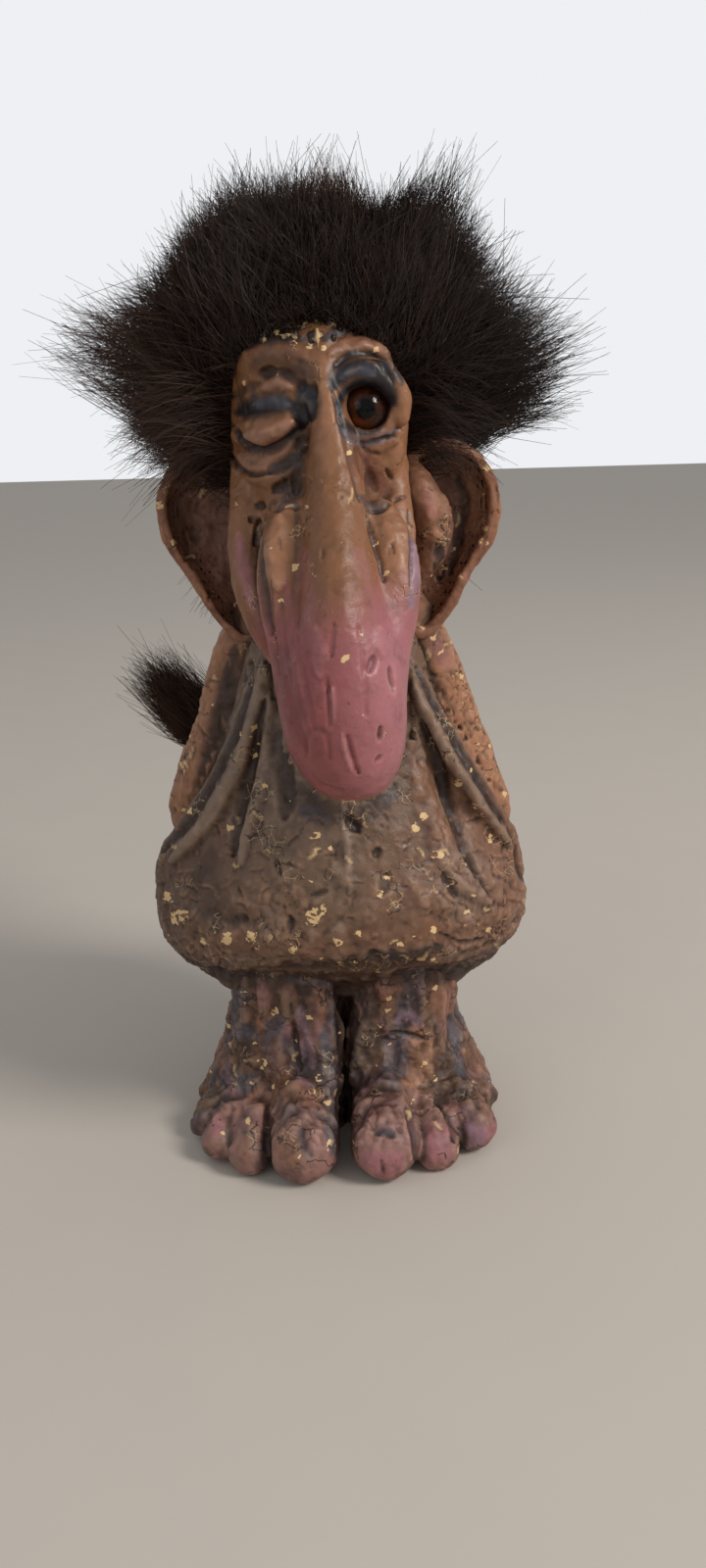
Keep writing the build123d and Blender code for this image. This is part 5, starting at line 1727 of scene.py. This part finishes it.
# Tail: a painted rubber tail with a tuft of the same fur
tail = {
    "stops": [
        (0, 39.6, 46, 3.8), (-1.5, 44, 46.6, 3.8), (-6, 51.5, 49, 3.8), (-16, 58, 56, 3.6),
        (-25, 59.5, 64, 3.3), (-31, 56.5, 74, 3.0), (-36, 52, 90.6, 2.4),
    ],
    "tuftStart": (-35.6, 52.3, 89.0),
    "tuftTip": (-53, 44, 113),
    "tuftRadius": 8.5,
    "strands": 1700,
    "box": ((-45, 34, 40), (6, 66, 98)),
    "step": 0.6,
}


def tailField(points):
    rough = 0.35 * roughNoise(points, 4, 70, 2) * smoothStep(44, 50, points[:, 1])
    return tubeField(points, tail["stops"], 6) + rough


tailSkin = skinOver(tailField, *tail["box"], tail["step"])
tailPiece = makeMesh("tailSkin", tailSkin["points"], tailSkin["quads"])
dirty = 0.7 * patches(tailSkin, -0.1, 0.7, 5, 71, 3)[:, None]
addColours(tailPiece, "paint", paints["tan"] * (1 - dirty) + paints["umber"] * dirty)
addValues(tailPiece, "worn", np.zeros(len(tailSkin["points"])))
tailPiece.data.materials.append(rubbers["body"])
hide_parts("tail_casting")
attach(tailPiece, "tail")


def growTuft():
    rng = np.random.default_rng(77)
    count, rings, t = tail["strands"], fur["rings"], strandShare
    start, tip = np.array(tail["tuftStart"]), np.array(tail["tuftTip"])
    axis = unit(tip - start)
    spreadOut = rng.normal(0, 1, (count, 3))
    spreadOut = unit(spreadOut - (spreadOut @ axis)[:, None] * axis)
    out = rng.uniform(0, 1, count) ** 0.5 * tail["tuftRadius"]
    reach = np.sqrt(((tip - start) ** 2).sum()) * rng.uniform(0.6, 1.05, count)
    swell = np.sin(np.linspace(0.15, 0.9, rings) * math.pi)[None, :, None] * out[:, None, None]
    paths = start + axis * t * reach[:, None, None] + spreadOut[:, None] * swell
    paths += rng.normal(0, 1, (count, 1, 3)) * t ** 2 * 4 + rng.normal(0, 0.15, (count, rings, 3))
    return strandTubes("tailTuft", paths, strandRadii(rng, count), furColours(paths, 78))


tuftPiece = growTuft()
tuftPiece.data.materials.append(furBlack)
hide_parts("tail_tuft")
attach(tuftPiece, "tail")
report("Tail")


# Dried glue, crumbs and threads along the hairline
glue = {
    "lumps": 30,
    "lumpSize": 1.15,
    "threads": 9,
    "threadRadius": 0.24,
    "threadReach": 6.0,
    "threadParts": 4,
    "boxMargin": 4,
    "step": 0.4,
}


def growGlue():
    rng = np.random.default_rng(5)
    low, high = [np.array(corner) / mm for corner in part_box("hairline_glue")]
    near = headPoints[np.all((headPoints > low - 1) & (headPoints < high + 1), axis=1)]
    chosen = near[rng.choice(len(near), glue["lumps"] + glue["threads"])]
    lumps = [(place, glue["lumpSize"] * rng.uniform(0.4, 1.0, 3)) for place in chosen[:glue["lumps"]]]
    threads, parts = [], glue["threadParts"]
    for place in chosen[glue["lumps"]:]:
        stops, here = [], place
        way = rng.normal(0, 1, 3) * np.array([1.0, 0.2, 0.6])
        for part in range(parts):
            stops.append((here[0], here[1] - 0.4 - 0.4 * rng.uniform(), here[2], glue["threadRadius"]))
            here = here + (unit(way) + rng.normal(0, 0.35, 3)) * glue["threadReach"] / parts
            here[1] = near[np.argmin(((near[:, ::2] - here[::2]) ** 2).sum(1)), 1]
        threads.append(stops)

    def lumpField(points):
        value = np.full(len(points), 1e3)
        for place, size in lumps:
            value = np.minimum(value, blobField(points, place, size) + 0.25 * noise(points, 0.9, 8))
        return value

    def threadField(points):
        return np.minimum.reduce([tubeField(points, stops) for stops in threads])

    margin = glue["boxMargin"]
    made = skinOver(lambda p: softMin(lumpField(p), threadField(p), 0.3), low - margin, high + margin,
                    glue["step"])
    piece = makeMesh("glueCrumbs", made["points"], made["quads"])
    pale = smoothStep(0.35, 0.0, threadField(made["points"]))[:, None]
    pale = np.maximum(pale, 0.6 * smoothStep(0.3, 0.8, noise(made["points"], 1.4, 9))[:, None])
    addColours(piece, "paint", paints["umber"] * 0.6 * (1 - pale) + paints["cream"] * 0.8 * pale)
    addValues(piece, "worn", np.zeros(len(made["points"])))
    piece.data.materials.append(rubbers["head"])
    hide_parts("hairline_glue")
    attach(piece, "figure")


growGlue()
report("Glue")


# Finishes for the CAD nodes that stay
def glassFinish():
    finish, tree, shader = newFinish("eyeGlass", {"Transmission Weight": 1.0, "IOR": 1.3})
    haze = noiseTexture(tree, objectPlace(tree), 300.0)
    setInputs(tree, shader, {"Roughness": ramp(tree, haze, 0.4, 0.8, 0.0, 0.04)})
    return finish


def irisFinish():
    # An amber disc with a dark rim and a small black pupil; it glows a little, as painted light, so
    # that it shows through the glass
    finish, tree, shader = newFinish("amberIris", {"Emission Strength": 0.16, "Coat Weight": 0.4})
    dark, amber, rim = [rgba(tone(*mixed)) for mixed in ((78, 38, 20), (146, 78, 36), (40, 20, 12))]
    flat = (1.0, 0.0, 1.0)
    place = objectPlace(tree)
    onDisc = vectorMath(tree, "MULTIPLY", place, flat).outputs[0]
    middle = tuple(eyeCentre * np.array(flat) * mm)
    far = vectorMath(tree, "DISTANCE", onDisc, middle).outputs["Value"]
    spokes = noiseTexture(tree, place, 420.0, 3.0)
    colour = mixColours(tree, ramp(tree, spokes, 0.35, 0.65), dark, amber)
    colour = mixColours(tree, ramp(tree, far, 0.0022, 0.0036), colour, rim)
    colour = mixColours(tree, ramp(tree, far, 0.0019, 0.0014), colour, (0.001, 0.001, 0.001, 1))
    rough = ramp(tree, spokes, 0.3, 0.7, 0.25, 0.4)
    # The iris colour is also its emission: a painted glow
    setInputs(tree, shader, {"Base Color": colour, "Emission Color": colour, "Roughness": rough})
    return finish


def plainFinish(name, colour, rough, scale, depth, metal=0.0):
    finish, tree, shader = newFinish(name, {"Metallic": metal})
    values = {"Colour": rgba(colour), "Patch Scale": scale, "Depth": depth}
    brushed = groupNode(tree, mottle, values).outputs
    height = groupNode(tree, grain, {"Scale": scale * 3}).outputs["Height"]
    setInputs(tree, shader, {
        "Base Color": brushed["Colour"],
        "Roughness": ramp(tree, brushed["Patch"], 0.3, 0.7, rough, rough + 0.15),
        "Normal": bumpNormal(tree, height, 0.3, 0.0003),
    })
    return finish


iris = irisFinish()
nodeFinishes = {
    "eye_glass": glassFinish(),
    "eye_iris": iris,
    "eye_pupil": iris,
    "eye_stem": plainFinish("steelStem", tone(150, 148, 144), 0.3, 400.0, 0.2, metal=1.0),
    "tail_wire": plainFinish("steelWire", tone(140, 138, 134), 0.3, 400.0, 0.2, metal=1.0),
    "body_filler": plainFinish("bodyFiller", tone(158, 128, 88), 0.7, 120.0, 0.4),
    "head_filler": plainFinish("headFiller", tone(158, 128, 88), 0.7, 120.0, 0.4),
    "sole_plug": plainFinish("solePlug", tone(60, 48, 42), 0.7, 200.0, 0.4),
    "tail_binding": plainFinish("bindingThread", tone(40, 30, 26), 0.8, 700.0, 0.6),
}
for node, finish in nodeFinishes.items():
    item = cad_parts[node]
    item.data.materials.clear()
    item.data.materials.append(finish)
report("Finishes")


# Floor, light and camera
studio = {
    "floor": tone(196, 187, 176),
    "floorSize": 6000,
    "lamps": {
        "keyLamp": ((0.95, -0.6, 0.95), 0.5, 13.0, (1.0, 0.965, 0.93)),
        "fillLamp": ((-0.9, -0.9, 0.6), 0.9, 1.6, (0.93, 0.96, 1.0)),
    },
    "lampsAim": (0, 0, 0.11),
    "sky": (0.95, 0.97, 1.0, 1),
    "world": 0.48,
    "backdrop": 0.9,
    "sensor": 36,
}


def addFloor():
    size = studio["floorSize"]
    points = np.array([(-size, -size, 0), (size, -size, 0), (size, size, 0), (-size, size, 0)], float)
    floor = makeMesh("studioFloor", points, [(0, 1, 2, 3)])
    finish, tree, shader = newFinish("paleFloor", {"Roughness": 0.9})
    grainy = ramp(tree, noiseTexture(tree, objectPlace(tree), 30.0, 4.0), 0.3, 0.7, 0.0, 0.06)
    colour = mixColours(tree, grainy, rgba(studio["floor"]), (0.4, 0.38, 0.35, 1))
    setInputs(tree, shader, {"Base Color": colour})
    floor.data.materials.append(finish)


def addLamp(name, place, size, power, colour):
    lamp = bpy.data.lights.new(name, "AREA")
    lamp.shape, lamp.size, lamp.energy, lamp.color = "DISK", size, power, colour
    item = bpy.data.objects.new(name, lamp)
    item.location = place
    aim = Vector(studio["lampsAim"]) - Vector(place)
    item.rotation_euler = aim.to_track_quat("-Z", "Y").to_euler()
    bpy.context.scene.collection.objects.link(item)


def addCamera():
    camera = bpy.data.cameras.new("pictureCamera")
    camera.lens = studio["sensor"] * picture["focal"] / picture["height"]
    item = bpy.data.objects.new("pictureCamera", camera)
    place = item.matrix_world.copy()
    for row in range(3):
        place[row][0], place[row][1], place[row][2] = sideways[row], upwards[row], -forwards[row]
        place[row][3] = picture["eye"][row] * mm
    item.matrix_world = place
    bpy.context.scene.collection.objects.link(item)
    bpy.context.scene.camera = item


def setWorld():
    world = bpy.data.worlds.new("studioWorld")
    world.use_nodes = True
    tree = world.node_tree
    lit = tree.nodes["Background"]
    seen = addNode(tree, "ShaderNodeLightPath").outputs["Is Camera Ray"]
    strength = ramp(tree, seen, 0.0, 1.0, studio["world"], studio["backdrop"])
    setInputs(tree, lit, {"Color": studio["sky"], "Strength": strength})
    bpy.context.scene.world = world


addFloor()
for name, lamp in studio["lamps"].items():
    addLamp(name, *lamp)
addCamera()
setWorld()
bpy.context.scene.view_settings.view_transform = "Standard"
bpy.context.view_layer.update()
report("Scene")
